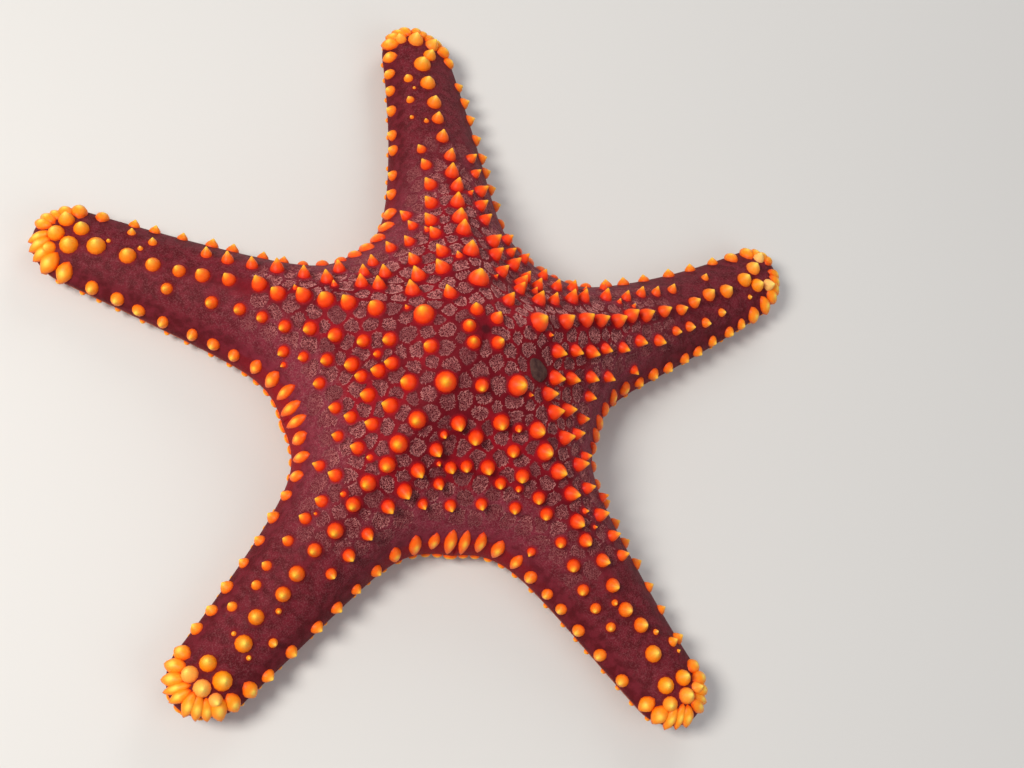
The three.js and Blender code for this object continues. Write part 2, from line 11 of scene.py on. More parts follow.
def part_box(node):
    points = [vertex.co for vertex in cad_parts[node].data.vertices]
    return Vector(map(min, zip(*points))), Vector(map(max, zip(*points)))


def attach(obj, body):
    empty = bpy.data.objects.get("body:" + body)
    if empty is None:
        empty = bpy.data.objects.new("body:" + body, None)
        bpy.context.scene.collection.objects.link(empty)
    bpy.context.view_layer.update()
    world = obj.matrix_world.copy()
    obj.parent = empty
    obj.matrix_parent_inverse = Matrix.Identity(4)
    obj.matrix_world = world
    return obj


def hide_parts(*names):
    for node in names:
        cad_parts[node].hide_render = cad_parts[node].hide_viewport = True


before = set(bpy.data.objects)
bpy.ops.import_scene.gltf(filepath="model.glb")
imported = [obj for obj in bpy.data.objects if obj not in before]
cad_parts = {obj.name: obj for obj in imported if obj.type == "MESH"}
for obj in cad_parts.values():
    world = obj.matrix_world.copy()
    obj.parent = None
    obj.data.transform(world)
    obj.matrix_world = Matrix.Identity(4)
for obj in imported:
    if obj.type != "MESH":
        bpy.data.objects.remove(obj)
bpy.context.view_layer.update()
MM = 0.001

# --- Camera ---
# A diver looks down at the star from arm's length, from beyond the two lower arms, so
# that the far flanks of the disc and arms fall away and the near ones are seen whole.
# The arms' lines meet a little off the middle of the disc's box.
DISC_OFFSET = (-0.103 * MM, 4.697 * MM)
CAMERA_BEARING, CAMERA_ELEVATION = radians(-126.9), radians(62.7)
CAMERA_DISTANCE = 461.6 * MM
CAMERA_AIM = (25.7 * MM, 4.9 * MM)
SENSOR_WIDTH, LENS, NEAR_LIMIT = 36, 44.5, 10 * MM

disc_low, disc_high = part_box("disc")
disc_x = (disc_low.x + disc_high.x) / 2 + DISC_OFFSET[0]
disc_y = (disc_low.y + disc_high.y) / 2 + DISC_OFFSET[1]


def placed(name, data):
    """A new object at the scene's origin."""
    thing = bpy.data.objects.new(name, data)
    bpy.context.scene.collection.objects.link(thing)
    return thing


camera_data = bpy.data.cameras.new("camera")
camera_data.lens = LENS
camera_data.sensor_width = SENSOR_WIDTH
camera_data.clip_start = NEAR_LIMIT
camera = placed("camera", camera_data)
back = Vector((cos(CAMERA_ELEVATION) * cos(CAMERA_BEARING),
               cos(CAMERA_ELEVATION) * sin(CAMERA_BEARING), sin(CAMERA_ELEVATION)))
right = Vector((0, 1, 0)).cross(back).normalized()
camera.matrix_world = Matrix((right, back.cross(right), back)).transposed().to_4x4()
camera.location = Vector((disc_x + CAMERA_AIM[0], disc_y + CAMERA_AIM[1], 0)) + back * CAMERA_DISTANCE
bpy.context.scene.camera = camera
bpy.context.scene.view_settings.view_transform = "Standard"

# --- Skin ---
# The star's living skin, drawn tight over a mesh of limy plates. It is one closed sheet:
# a high disc with five arms above, a flat grained sole with a furrow under each arm.
# Ridges between the plates stand up as a crimson net round soft, sunken fields.

# Sizes are in millimetres. Each arm: name, direction in degrees, length, swing of its
# tip, curl, breadth, and how far from the middle of the disc the notch on its left lies.
ARMS = (
    ("c", -52.6, 142.0, -0.8, 3.5, 0.94, 57.0),
    ("b", 20.8, 146.0, 12.0, 0.0, 0.98, 57.0),
    ("a", 93.4, 145.0, 10.0, 0.0, 0.98, 57.0),
    ("e", 166.0, 147.5, -1.5, 0.0, 0.97, 61.0),
    ("d", 236.7, 142.0, -4.2, 3.0, 0.94, 62.5),
)
_, DIRECTION, LENGTH, SWING, CURL, BREADTH, LEFT_NOTCH = zip(*ARMS)
BEARING = [radians(direction) for direction in DIRECTION]
SIDES = list(product(range(5), (-1, 1)))
NOTCH, NOTCH_STATION = 57.0, 0.4
BASE_HALF, MID_HALF, TIP_HALF = 24.0, 17.4, 12.6
TIP_LENGTH = 13.0
FLARE = 7.0
SWING_START, CURL_START = 50.0, 0.72
APEX, MARGIN = 55.2, 7.5
EDGE, UNDER_EDGE = 9.0, 5.0
# The height of an arm's ridge, and of its shoulders, by station: 0 at the middle of the
# disc, 0.4 level with the notches and 1 at the tip.
RIDGE = ((0, APEX), (0.12, 51.0), (0.25, 41.7), (0.42, 31.0), (0.58, 23.0), (0.75, 17.5), (0.9, 14.5),
         (1, 13.0))
SHOULDER = ((0, 17.7), (0.45, 16.3), (0.8, 12.7), (1, 11.2))
VALLEY_FALL = 1.6
DISC_SECTION, SHARP_RIDGE, ARM_SECTION = 0.35, 1.5, 1.7
FAN_SLOPE, FAN_BLEND, FAN_START, FAN_END = 0.56, 4.0, 4.0, (0.4, 0.6)
SOLE, SOLE_RISE = 0.5, 1.4
FLAT_HALF, FLAT_SLOPE = 7.2, 3.0
FURROW_HALF, FURROW_DEPTH, FURROW_TIP = 3.0, 4.4, 0.55
FURROW_WALL, FURROW_END = (1.15, 0.25), (4, 11)
MOUTH_RADIUS, MOUTH_DEPTH, MOUTH_WALL = 8.5, 6.0, (1.1, 0.35)
DISC_ROWS, ARM_ROWS, TIP_ROWS = 66, 80, 20
TOP_COLUMNS, UNDER_COLUMNS = 82, 34
MARGIN_POINTS, CHUNK = 61, 4000


def smooth(low, high, value):
    """A smooth step from 0 to 1 as the value goes from low to high."""
    f = np.clip((value - low) / (high - low), 0, 1)
    return f * f * (3 - 2 * f)


def curve_through(pairs, place):
    """The height at a place of the smooth curve through the pairs."""
    x, y = np.array(pairs, float).T
    slope = np.empty_like(y)
    slope[1:-1] = (y[2:] - y[:-2]) / (x[2:] - x[:-2])
    slope[0] = 0
    slope[-1] = (y[-1] - y[-2]) / (x[-1] - x[-2])
    i = np.clip(np.searchsorted(x, place, side="left") - 1, 0, len(x) - 2)
    span = x[i + 1] - x[i]
    f = np.clip((place - x[i]) / span, 0, 1)
    pull = (1 - f) * slope[i] - f * slope[i + 1]
    return y[i] + (y[i + 1] - y[i]) * f * f * (3 - 2 * f) + span * f * (1 - f) * pull


def half_gap(arm, side):
    """Half the angle between an arm and its neighbour to the left (1) or right (-1)."""
    return radians((DIRECTION[(arm + side) % 5] - DIRECTION[arm]) * side % 360 / 2)


def side_width(arm, share):
    bulge = MID_HALF - (BASE_HALF + TIP_HALF) / 2
    return BREADTH[arm] * (BASE_HALF + (TIP_HALF - BASE_HALF) * share + bulge * 4 * share * (1 - share))


def spread(out, across):
    return np.broadcast_arrays(np.asarray(out, float), np.asarray(across, float))


def plan_in_arm(arm, out, across):
    """Place along and to the left of an arm, for a distance out and -1 to 1 across."""
    out, across = spread(out, across)
    length = LENGTH[arm]
    side = np.where(across < 0, -1.0, 1.0)
    reach = np.abs(across)
    gap = np.where(across < 0, half_gap(arm, -1), half_gap(arm, 1))
    notch = np.where(across < 0, LEFT_NOTCH[arm - 1], LEFT_NOTCH[arm])
    notch_x, notch_y = notch * np.cos(gap), notch * np.sin(gap)
    in_disc = np.clip(out / NOTCH, 0, 1)
    beyond = np.clip((out - NOTCH) / (length - NOTCH), 0, 1)
    sag = (NOTCH - notch_x) * np.where(out < NOTCH, in_disc, (1 - beyond) ** 2)
    edge_x = out - sag
    share = np.clip((edge_x - notch_x) / (length - notch_x), 0, 1)
    cap = np.sqrt(1 - np.clip((edge_x - length + TIP_LENGTH) / TIP_LENGTH, 0, 1) ** 2)
    flare = (notch_y - side_width(arm, 0)) * np.exp(-np.maximum(edge_x - notch_x, 0) / FLARE)
    width = side_width(arm, share)
    edge = np.where(out < NOTCH, notch_y * in_disc, (width + flare) * cap)
    eased = -FAN_BLEND * np.log(np.exp(-FAN_SLOPE * out / FAN_BLEND) + np.exp(-width * cap / FAN_BLEND))
    eased = eased * smooth(0, FAN_START, out)
    inner = eased + (width * cap - eased) * smooth(*FAN_END, beyond)
    x = out - sag * reach ** 2
    swung = np.maximum(x - SWING_START, 0) / (length - SWING_START)
    return x, side * reach * (inner + (edge - inner) * reach ** 3) + SWING[arm] * swung ** 2


def plan(arm, out, across):
    """The same place in the plan of the whole star, from the middle of the disc."""
    x, y = plan_in_arm(arm, out, across)
    along, aside = cos(BEARING[arm]), sin(BEARING[arm])
    return np.stack([along * x - aside * y, aside * x + along * y], -1)


def station_of(arm, out):
    beyond = (out - NOTCH) / (LENGTH[arm] - NOTCH)
    return np.where(out < NOTCH, NOTCH_STATION * out / NOTCH, NOTCH_STATION + (1 - NOTCH_STATION) * beyond)


def margin_line(arm, side, count):
    """Distances out along one side of an arm, from notch to tip, and their places."""
    outs = NOTCH + (LENGTH[arm] - NOTCH) * np.sin(np.linspace(0, pi / 2, count))
    return outs, plan(arm, outs, side * np.ones(count))


margin_lines = [margin_line(arm, side, MARGIN_POINTS)[1] for arm, side in SIDES]
margin_starts = np.concatenate([line[:-1] for line in margin_lines])
margin_runs = np.concatenate([line[1:] - line[:-1] for line in margin_lines])


def distance_to_margin(places, out=0, across=0):
    """How far in from the star's outline each place of the plan lies."""
    flat = np.reshape(places, (-1, 2))
    distance = np.empty(len(flat))
    length_squared = (margin_runs ** 2).sum(1)
    for start in range(0, len(flat), CHUNK):
        reach = flat[start:start + CHUNK, None] - margin_starts[None]
        share = np.clip((reach * margin_runs).sum(2) / length_squared, 0, 1)
        gap = reach - share[..., None] * margin_runs
        distance[start:start + CHUNK] = np.sqrt((gap ** 2).sum(2).min(1))
    distance = distance.reshape(np.shape(places)[:-1])
    return np.where((out >= NOTCH) & (np.abs(across) > 1 - 1e-9), 0.0, distance)


def curl_lift(arm, out):
    bent = np.maximum((out / LENGTH[arm] - CURL_START) / (1 - CURL_START), 0)
    return CURL[arm] * bent ** 2


def furrow_size(arm, out):
    return 1 + (FURROW_TIP - 1) * out / LENGTH[arm]


def from_margin(arm, out, across, height, rounding, more=0):
    """Points of the skin at that height, rounded off towards the margin."""
    places = plan(arm, out, across)
    share = np.clip(distance_to_margin(places, out, across) / rounding, 0, 1)
    height = MARGIN + (height - MARGIN) * np.sqrt(1 - (1 - share) ** 2) + curl_lift(arm, out) + more
    return np.concatenate([places, height[..., None]], -1)


def top_surface(arm, out, across):
    """Points of the upper side, from the middle of the disc on the floor."""
    out, across = spread(out, across)
    reach = np.abs(across)
    station = station_of(arm, out)
    in_disc = np.clip(out / NOTCH, 0, 1)
    ridge = curve_through(RIDGE, station)
    shoulder = curve_through(SHOULDER, station)
    notch_fall = curve_through(RIDGE, NOTCH_STATION) - curve_through(SHOULDER, NOTCH_STATION)
    valley = np.where(out < NOTCH, ridge - notch_fall * in_disc ** VALLEY_FALL, shoulder)
    disc_section = (1 - DISC_SECTION) * (0.5 + 0.5 * np.cos(pi * reach))
    disc_section = disc_section + DISC_SECTION * (1 - reach ** SHARP_RIDGE)
    arm_section = 1 - reach ** ARM_SECTION
    section = disc_section + (arm_section - disc_section) * smooth(0.5, 1, in_disc)
    return from_margin(arm, out, across, valley + (ridge - valley) * section, EDGE)


def under_surface(arm, out, across):
    """Points of the sole, with the arm's furrow and the bowl of the mouth."""
    out, across = spread(out, across)
    off_axis = np.abs(plan_in_arm(arm, out, across)[1] - plan_in_arm(arm, out, 0 * across)[1])
    ground = SOLE + SOLE_RISE * np.clip((off_axis - FLAT_HALF) / FLAT_SLOPE, 0, 1)
    size = furrow_size(arm, out)
    furrow = FURROW_DEPTH * size * smooth(*FURROW_WALL, off_axis / (FURROW_HALF * size))
    furrow = furrow * smooth(LENGTH[arm] - FURROW_END[0], LENGTH[arm] - FURROW_END[1], out)
    radius = np.hypot(*np.moveaxis(plan(arm, out, across), -1, 0))
    bowl = MOUTH_DEPTH * smooth(MOUTH_RADIUS * MOUTH_WALL[0], MOUTH_RADIUS * MOUTH_WALL[1], radius)
    return from_margin(arm, out, across, ground, UNDER_EDGE, np.maximum(furrow, bowl))


def row_distances(arm):
    cap_start = LENGTH[arm] - TIP_LENGTH
    disc_part = np.linspace(0, NOTCH, DISC_ROWS + 1)
    arm_part = np.linspace(NOTCH, cap_start, ARM_ROWS + 1)[1:]
    tip_part = cap_start + TIP_LENGTH * np.sin(np.linspace(0, pi / 2, TIP_ROWS + 1))[1:]
    return np.concatenate([disc_part, arm_part, tip_part])


def column_places(count):
    even = np.linspace(-1, 1, count + 1)
    return np.sign(even) * np.sin(np.abs(even) * pi / 2) ** 0.9


# The skin's points are numbered in grids, one for the upper side of each arm's sector
# beside one for its sole. The grids share the points where they meet.
ROWS = DISC_ROWS + ARM_ROWS + TIP_ROWS
grid = np.arange(5 * (ROWS + 1) * (TOP_COLUMNS + UNDER_COLUMNS + 2)).reshape(5, ROWS + 1, -1)
top_ids, under_ids = np.split(grid, [TOP_COLUMNS + 1], axis=2)
for ids in (top_ids, under_ids):
    ids[:, 0] = ids[0, 0, 0]
    ids[:, 1:DISC_ROWS + 1, 0] = np.roll(ids[:, 1:DISC_ROWS + 1, -1], 1, axis=0)
under_ids[:, DISC_ROWS:ROWS, [0, -1]] = top_ids[:, DISC_ROWS:ROWS, [0, -1]]
grid[:, ROWS] = grid[:, ROWS, :1]
used, numbers = np.unique(grid, return_inverse=True)
top_ids, under_ids = np.split(numbers.reshape(grid.shape), [TOP_COLUMNS + 1], axis=2)
skin_count = len(used)

# Each quad of the skin, and where its corners lie on the skin's flat pattern, which
# sets the five sectors side by side with each sole above its upper side.
PATTERN_TOP_SHARE, PATTERN_GAP, PATTERN_SECTOR = 0.7, 0.004, 0.2
UP_CORNERS, DOWN_CORNERS = ((0, 0), (1, 0), (1, 1), (0, 1)), ((0, 0), (0, 1), (1, 1), (1, 0))
skin_points = np.zeros((skin_count, 3))
point_arm = np.zeros(skin_count, int)
point_out, point_across, point_under = np.zeros((3, skin_count))
pattern_of_point = np.zeros((skin_count, 2))
skin_quads, skin_pattern = [], []
for arm in range(5):
    out = row_distances(arm)[:, None]
    for ids, columns, surface, low, high, corners in (
            (under_ids, UNDER_COLUMNS, under_surface, PATTERN_TOP_SHARE, 1, DOWN_CORNERS),
            (top_ids, TOP_COLUMNS, top_surface, 0, PATTERN_TOP_SHARE, UP_CORNERS)):
        here = ids[arm]
        across = column_places(columns)[None]
        skin_points[here] = surface(arm, out, across)
        point_arm[here] = arm
        point_out[here] = out
        point_across[here] = across
        point_under[here] = surface is under_surface
        aside = (np.arange(columns + 1) / columns) * (PATTERN_SECTOR - PATTERN_GAP) + PATTERN_GAP / 2
        u = np.broadcast_to(arm * PATTERN_SECTOR + aside, here.shape)
        v = low + PATTERN_GAP / 2 + out / LENGTH[arm] * (high - low - PATTERN_GAP)
        pattern = np.stack([u, np.broadcast_to(v, here.shape)], -1)
        pattern_of_point[here] = pattern
        quad = np.stack([here[i:ROWS + i, j:columns + j] for i, j in corners], -1)
        flat = np.stack([pattern[i:ROWS + i, j:columns + j] for i, j in corners], -2)
        skin_quads.insert(2 * arm, quad.reshape(-1, 4))
        skin_pattern.insert(2 * arm, flat.reshape(-1, 4, 2))
skin_quads = np.concatenate(skin_quads)
skin_pattern = np.concatenate(skin_pattern)

# A quad at a tip or in the middle has fewer than four corners.
skin_faces, corner_places = [], []
for quad, flat in zip(skin_quads.tolist(), skin_pattern.tolist()):
    face = {}
    for index, place in zip(quad, flat):
        face.setdefault(index, place)
    skin_faces.append(list(face))
    corner_places += face.values()


def point_normals(points, quads):
    cross = np.cross(points[quads[:, 2]] - points[quads[:, 0]], points[quads[:, 3]] - points[quads[:, 1]])
    total = np.zeros_like(points)
    for corner in range(4):
        np.add.at(total, quads[:, corner], cross)
    return total / np.maximum(norm(total, axis=1), 1e-12)[:, None]


# The upper side is eased so that no crease shows where the rows of the disc and of the
# arms meet.
EASING, EASING_ROUNDS = 0.5, 8
edges = np.concatenate([skin_quads[:, [i, (i + 1) % 4]] for i in range(4)])
edges = edges[edges[:, 0] != edges[:, 1]]
neighbours = np.bincount(edges[:, 0], minlength=skin_count)[:, None]
free = point_under == 0
for _ in range(EASING_ROUNDS):
    total = np.zeros_like(skin_points)
    np.add.at(total, edges[:, 0], skin_points[edges[:, 1]])
    mean = total / neighbours
    skin_points[free, 2] += EASING * (mean[free, 2] - skin_points[free, 2])
base_normals = point_normals(skin_points, skin_quads)
base_points = skin_points.copy()
base_tree = BVHTree.FromPolygons(base_points.tolist(), skin_faces)


def wobble(n):
    """A steady wobble between -1 and 1. Its argument is only a seed, one for each use."""
    return 2 * (sin(n * 12.9898) * 43758.5453 % 1) - 1


def across_at(arm, out, offset):
    """Where across an arm a place lies that many millimetres off its ridge."""
    low, high = -1.0, 1.0
    middle = plan_in_arm(arm, out, 0.0)[1]
    for _ in range(24):
        half = (low + high) / 2
        if plan_in_arm(arm, out, half)[1] - middle < offset:
            low = half
        else:
            high = half
    return (low + high) / 2


# The net leaves room for the tubercles, so their places are worked out here: one large
# and one middling on each ridge, a row on along the ridge, rows to its sides that thin
# out, and others between the arms, scattered, on the tips and round the disc's middle.
RIDGE_PAIR = ((20.5, 6.7), (33.8, 5.5))
RIDGE_OUT, RIDGE_STEP, RIDGE_GROWTH, RIDGE_END = 42.7, 7.2, 0.24, 19.0
RIDGE_WIDTH = ((0.3, 5.3), (0.62, 4.6), (0.82, 5.6), (1, 7.2))
# Each row: first place out, step, count, count without gaps, first and last place off
# the ridge, and first and last width.
SIDE_ROWS = ((27.5, 8.2, 12, 8, 9.8, 7.6, 4.9, 3.3), (30.0, 7.6, 6, 4, 17.8, 15.6, 4.6, 3.4))
SIDE_MISSING = -0.3
GAP_ROW = ((16.0, 4.4), (26.5, 4.2), (36.5, 3.9))
GAP_PAIR_OUT, GAP_PAIR_SPREAD, GAP_PAIR_WIDTH = 46.5, 6.0, 3.9
STRAYS, STRAY_OUT, STRAY_STEP, STRAY_WIDTH = 5, 24.0, 8.5, 2.2
SPECKS, SPECK_OUT, SPECK_STEP, SPECK_OFF, SPECK_WIDTH = 8, 62.0, 8.6, 9.5, 1.9
TIP_CROWN = ((14.8, -3.2, 5.3), (13.2, 3.4, 5.9), (9.2, -5.0, 4.9), (8.0, 0.6, 5.5), (7.8, 6.1, 4.4))
APEX_RING, APEX_RING_RADIUS, APEX_RING_WIDTH = 5, 6.4, 4.3
SIEVE_SPOT, SIEVE_RADIUS, SIEVE_RISE, SIEVE_CLEARANCE = (0, 22.3, 0.88), 5.2, 0.9, -0.3
TUBERCLE_GAP, TIPS_FROM = 0.7, 115
tubercles = []


def stand(out, across, width):
    """Adds a tubercle on the arm at hand."""
    tubercles.append((arm, out, across, width))


def stand_off(out, offset, width):
    """Adds one that lies so many millimetres off the ridge."""
    stand(out, across_at(arm, out, offset), width)


for arm in range(5):
    seed = 100 * (arm + 1)
    for k, (out, width) in enumerate(RIDGE_PAIR):
        stand(out + wobble(seed + k), 0.0, width)
    out, k = RIDGE_OUT, 0
    while out < LENGTH[arm] - RIDGE_END:
        spot = out + 1.1 * wobble(seed + 2 + k)
        width = curve_through(RIDGE_WIDTH, station_of(arm, spot)) * (1 + 0.08 * wobble(seed + 60 + k))
        stand_off(spot, 1.3 * wobble(seed + 20 + k), width)
        out += RIDGE_STEP + RIDGE_GROWTH * k
        k += 1
    for order, (first, step, count, sure, start, end, broad, slim) in enumerate(SIDE_ROWS):
        for side in (-1, 1):
            for k in range(count):
                key = seed + 40 + 20 * order + k + (10 if side > 0 else 0)
                if k >= sure and wobble(key + 0.25) > SIDE_MISSING:
                    continue
                share = k / (count - 1)
                stand_off(first + step * k + 1.6 * wobble(key),
                          side * (start + (end - start) * share + wobble(key + 0.5)),
                          (broad + (slim - broad) * share) * (1 + 0.12 * wobble(key + 0.75)))
    for k, (out, width) in enumerate(GAP_ROW):
        stand(out + wobble(seed + 80 + k), 1 - 0.06 * abs(wobble(seed + 84 + k)), width)
    for side in (-1, 1):
        out = GAP_PAIR_OUT + 1.5 * wobble(seed + 88 + side)
        stand(out, side * (1 - GAP_PAIR_SPREAD / (2 * sin(half_gap(arm, side)) * out)), GAP_PAIR_WIDTH)
    for k in range(STRAYS):
        stand(STRAY_OUT + STRAY_STEP * k + 2 * wobble(seed + 90 + k), 0.8 * wobble(seed + 95 + k),
              STRAY_WIDTH * (1 + 0.2 * wobble(k)))
    for k in range(SPECKS):
        stand_off(SPECK_OUT + SPECK_STEP * k + 4 * wobble(seed + 130 + k), SPECK_OFF * wobble(seed + 140 + k),
                  SPECK_WIDTH * (1 + 0.3 * wobble(seed + 150 + k)))
    for back_off, offset, width in TIP_CROWN:
        offset += 0.35 * wobble(seed + 98 + offset)
        stand_off(LENGTH[arm] - back_off, offset, width * (1 + 0.08 * wobble(seed + offset)))
tubercles.sort(key=lambda tubercle: -tubercle[3])
for arm in range(APEX_RING):
    stand(APEX_RING_RADIUS + 1.6 * wobble(900 + arm), 0.9 * wobble(920 + arm), APEX_RING_WIDTH)

# One that would stand on the sieve plate, or on one before it in the list, is dropped.
sieve_place = top_surface(*SIEVE_SPOT)
spots = [top_surface(*tubercle[:3]) for tubercle in tubercles]
clear = [k for k, tubercle in enumerate(tubercles)
         if norm(spots[k] - sieve_place) > SIEVE_RADIUS + tubercle[3] / 2 + SIEVE_CLEARANCE]
kept = []
for order, k in enumerate(clear):
    _, out, _, width = tubercles[k]
    gap = TUBERCLE_GAP if out < TIPS_FROM else 0.0
    if all(norm(spots[k] - spots[j]) > 0.5 * (width + tubercles[j][3]) + gap for j in clear[:order]):
        kept.append(k)
tubercles = [tubercles[k] for k in kept]
tubercle_place = np.array([spots[k] for k in kept])
tubercle_width = np.array([tubercle[3] for tubercle in tubercles])


UP = Vector((0, 0, 1))


def on_top(x, y):
    """The place on the upper skin over a spot of the plan, and its normal."""
    return base_tree.ray_cast(Vector((x, y, 90)), -UP)[:2]


# Sunken fields lie between the tubercles in staggered rows. Each is pushed off its
# neighbours and off the tubercles, until the net between them is even.
FIELD_STEP, FIELD_ROW, FIELD_RINGS, ARM_FIELDS = 5.7, 6.0, 10, (9.6, 0.92)
FIELD_REACH, FIELD_APART, FIELD_CLOSEST = 0.56, 4.4, 3.2
FIELD_INSET = {"disc": 9.5, "arm": 8.5}
FIELD_SPACE, FIELD_FROM_TUBERCLE, PUSH, PUSH_OFF, PUSHES = 6.2, 2.6, 0.3, 0.6, 30
fields = []


def try_field(x, y, need, key):
    """Keeps a field if its place is far enough in from the margin."""
    if distance_to_margin((x, y)) > need + wobble(key + 0.5):
        fields.append(tuple(on_top(x + 0.8 * wobble(key + 0.1), y + 0.8 * wobble(key + 0.2))[0]))


for ring in range(1, FIELD_RINGS):
    count = round(2 * pi * ring * FIELD_STEP / FIELD_ROW)
    for k in range(count):
        angle = 2 * pi * (k + ring / 2) / count
        radius = ring * FIELD_STEP
        try_field(radius * cos(angle), radius * sin(angle), FIELD_INSET["disc"], 7000 + 60 * ring + k)
for arm in range(5):
    for row in range(20):
        out = ARM_FIELDS[0] * FIELD_STEP + row * FIELD_STEP * ARM_FIELDS[1]
        key = 8000 + 211 * arm + 13 * row
        if station_of(arm, out) > FIELD_REACH + 0.06 * wobble(key):
            continue
        for k in range(-4, 5):
            offset = k * FIELD_ROW + (FIELD_ROW / 2 if row % 2 else 0)
            if abs(offset) > abs(plan_in_arm(arm, out, 1.0)[1]):
                continue
            x, y = plan(arm, out, across_at(arm, out, offset))
            if all(hypot(x - field[0], y - field[1]) > FIELD_APART for field in fields):
                try_field(x, y, FIELD_INSET["arm"], key + k)
fields = np.array(fields)
solid_place = np.concatenate([tubercle_place, [sieve_place]])
solid_width = np.concatenate([tubercle_width, [2 * SIEVE_RADIUS + 0.6]])
FAR_OFF = 99.0
for _ in range(PUSHES):
    gap = fields[:, None] - fields[None]
    far = norm(gap, axis=2) + np.eye(len(fields)) * FAR_OFF
    move = PUSH * ((np.clip(FIELD_SPACE - far, 0, None) / far)[..., None] * gap).sum(1)
    gap = fields[:, None] - solid_place[None]
    far = norm(gap, axis=2)
    wanted = solid_width[None] / 2 + FIELD_FROM_TUBERCLE
    move += PUSH_OFF * ((np.clip(wanted - far, 0, None) / np.maximum(far, 0.1))[..., None] * gap).sum(1)
    fields = np.array([tuple(base_tree.find_nearest(Vector(point))[0]) for point in fields + move])
apart = norm(fields[:, None] - fields[None], axis=2)
crowded = (apart + np.triu(np.full(apart.shape, FAR_OFF))).min(1) < FIELD_CLOSEST
fields = fields[~crowded & (norm(fields - sieve_place, axis=1) > SIEVE_RADIUS + 1.5)]


def nearest(points, sites, weights, count):
    """The nearest sites of each point, nearest first, and the squares of their distances.

    A site with a weight draws points from farther off.
    """
    found = np.empty((len(points), count), int)
    squares = np.empty((len(points), count))
    for start in range(0, len(points), CHUNK):
        part = points[start:start + CHUNK]
        squared = (part ** 2).sum(1)[:, None] + (sites ** 2).sum(1)[None] - 2 * part @ sites.T
        squared -= weights[None]
        some = np.argpartition(squared, count, axis=1)[:, :count]
        value = np.take_along_axis(squared, some, 1)
        order = np.argsort(value, axis=1)
        found[start:start + CHUNK] = np.take_along_axis(some, order, 1)
        squares[start:start + CHUNK] = np.take_along_axis(value, order, 1)
    return found, squares


NET_HALF, FIELD_RADIUS, FOOT_CLEARANCE, CORNER, LIMIT = 0.62, 3.8, 0.5, 0.4, 20
field_weight = np.array([5.0 * wobble(6000 + k) for k in range(len(fields))])
field_radius = np.array([FIELD_RADIUS * (1 + 0.13 * wobble(6500 + k)) for k in range(len(fields))])


def sunken_at(points):
    """How deep each point lies in a field, its distance off a tubercle, and the field."""
    found, squares = nearest(points, fields, field_weight, 6)
    home = found[:, :1]
    apart = norm(fields[home] - fields[found[:, 1:]], axis=2)
    border = (squares[:, 1:] - squares[:, :1]) / (2 * np.maximum(apart, 0.5)) - NET_HALF
    reach = field_radius[home] - np.sqrt(np.maximum(squares[:, :1] + field_weight[home], 0))
    found, squares = nearest(points, tubercle_place, np.zeros(len(tubercle_place)), 2)
    to_foot = np.sqrt(np.maximum(squares[:, :1], 0)) - tubercle_width[found[:, :1]] / 2
    to_sieve = norm(points - sieve_place, axis=1)[:, None] - SIEVE_RADIUS - 0.4
    limits = np.concatenate([border, reach, to_foot - FOOT_CLEARANCE, to_sieve], axis=1)
    inside = -CORNER * np.log(np.exp(-np.clip(limits, -LIMIT, LIMIT) / CORNER).sum(1))
    ragged = 0.1 * np.sin(points[:, 0] * 2.3 + 1.7 * np.sin(points[:, 1] * 1.9)) * np.sin(points[:, 1] * 2.7)
    return inside + 0.15 + ragged, to_foot[:, 0], home[:, 0]


FIELD_SINK, FIELD_WALL = 0.4, (-0.2, 0.7)
FOOT_RISE, FOOT_SPREAD = 0.5, 1.1
sunken, to_foot, _ = sunken_at(base_points)
sunken[point_under == 1] = -2
relief = -FIELD_SINK * smooth(*FIELD_WALL, sunken)
relief = relief + FOOT_RISE * np.exp(-(np.maximum(to_foot, 0) / FOOT_SPREAD) ** 2) * free
skin_points = base_points + base_normals * relief[:, None]
middle = np.array([disc_x / MM, disc_y / MM, 0.0])


def mesh_of(name, points, faces):
    mesh = bpy.data.meshes.new(name)
    mesh.from_pydata(points, [], faces)
    mesh.update()
    return mesh


def set_attribute(mesh, name, values):
    layer = mesh.attributes.new(name, "FLOAT", "POINT")
    layer.data.foreach_set("value", np.asarray(values, np.float32))


skin_mesh = mesh_of("skin", ((skin_points + middle) * MM).tolist(), skin_faces)
skin_mesh.uv_layers.new(name="OFBake").data.foreach_set("uv", np.ravel(corner_places))
skin_mesh.shade_smooth()
point_station, point_edge = np.zeros((2, skin_count))
for arm in range(5):
    mine = point_arm == arm
    point_station[mine] = station_of(arm, point_out[mine])
    point_edge[mine] = distance_to_margin(base_points[mine, :2], point_out[mine], point_across[mine])
from_apex = np.hypot(base_points[:, 0], base_points[:, 1]) + 60 * point_under
for name, values in (("sunken", sunken), ("foot", to_foot), ("station", point_station),
                     ("edge", point_edge), ("sole", point_under), ("apex", from_apex)):
    set_attribute(skin_mesh, name, values)


class Tap:
    """A number coming out of a shader node, with Python's arithmetic."""

    def __init__(self, finish, socket):
        self.finish, self.socket = finish, socket

    def __add__(self, other):
        return self.finish.math("ADD", self, other)

    def __sub__(self, other):
        return self.finish.math("SUBTRACT", self, other)

    def __rsub__(self, other):
        return self.finish.math("SUBTRACT", other, self)

    def __mul__(self, other):
        return self.finish.math("MULTIPLY", self, other)

    __radd__, __rmul__ = __add__, __mul__


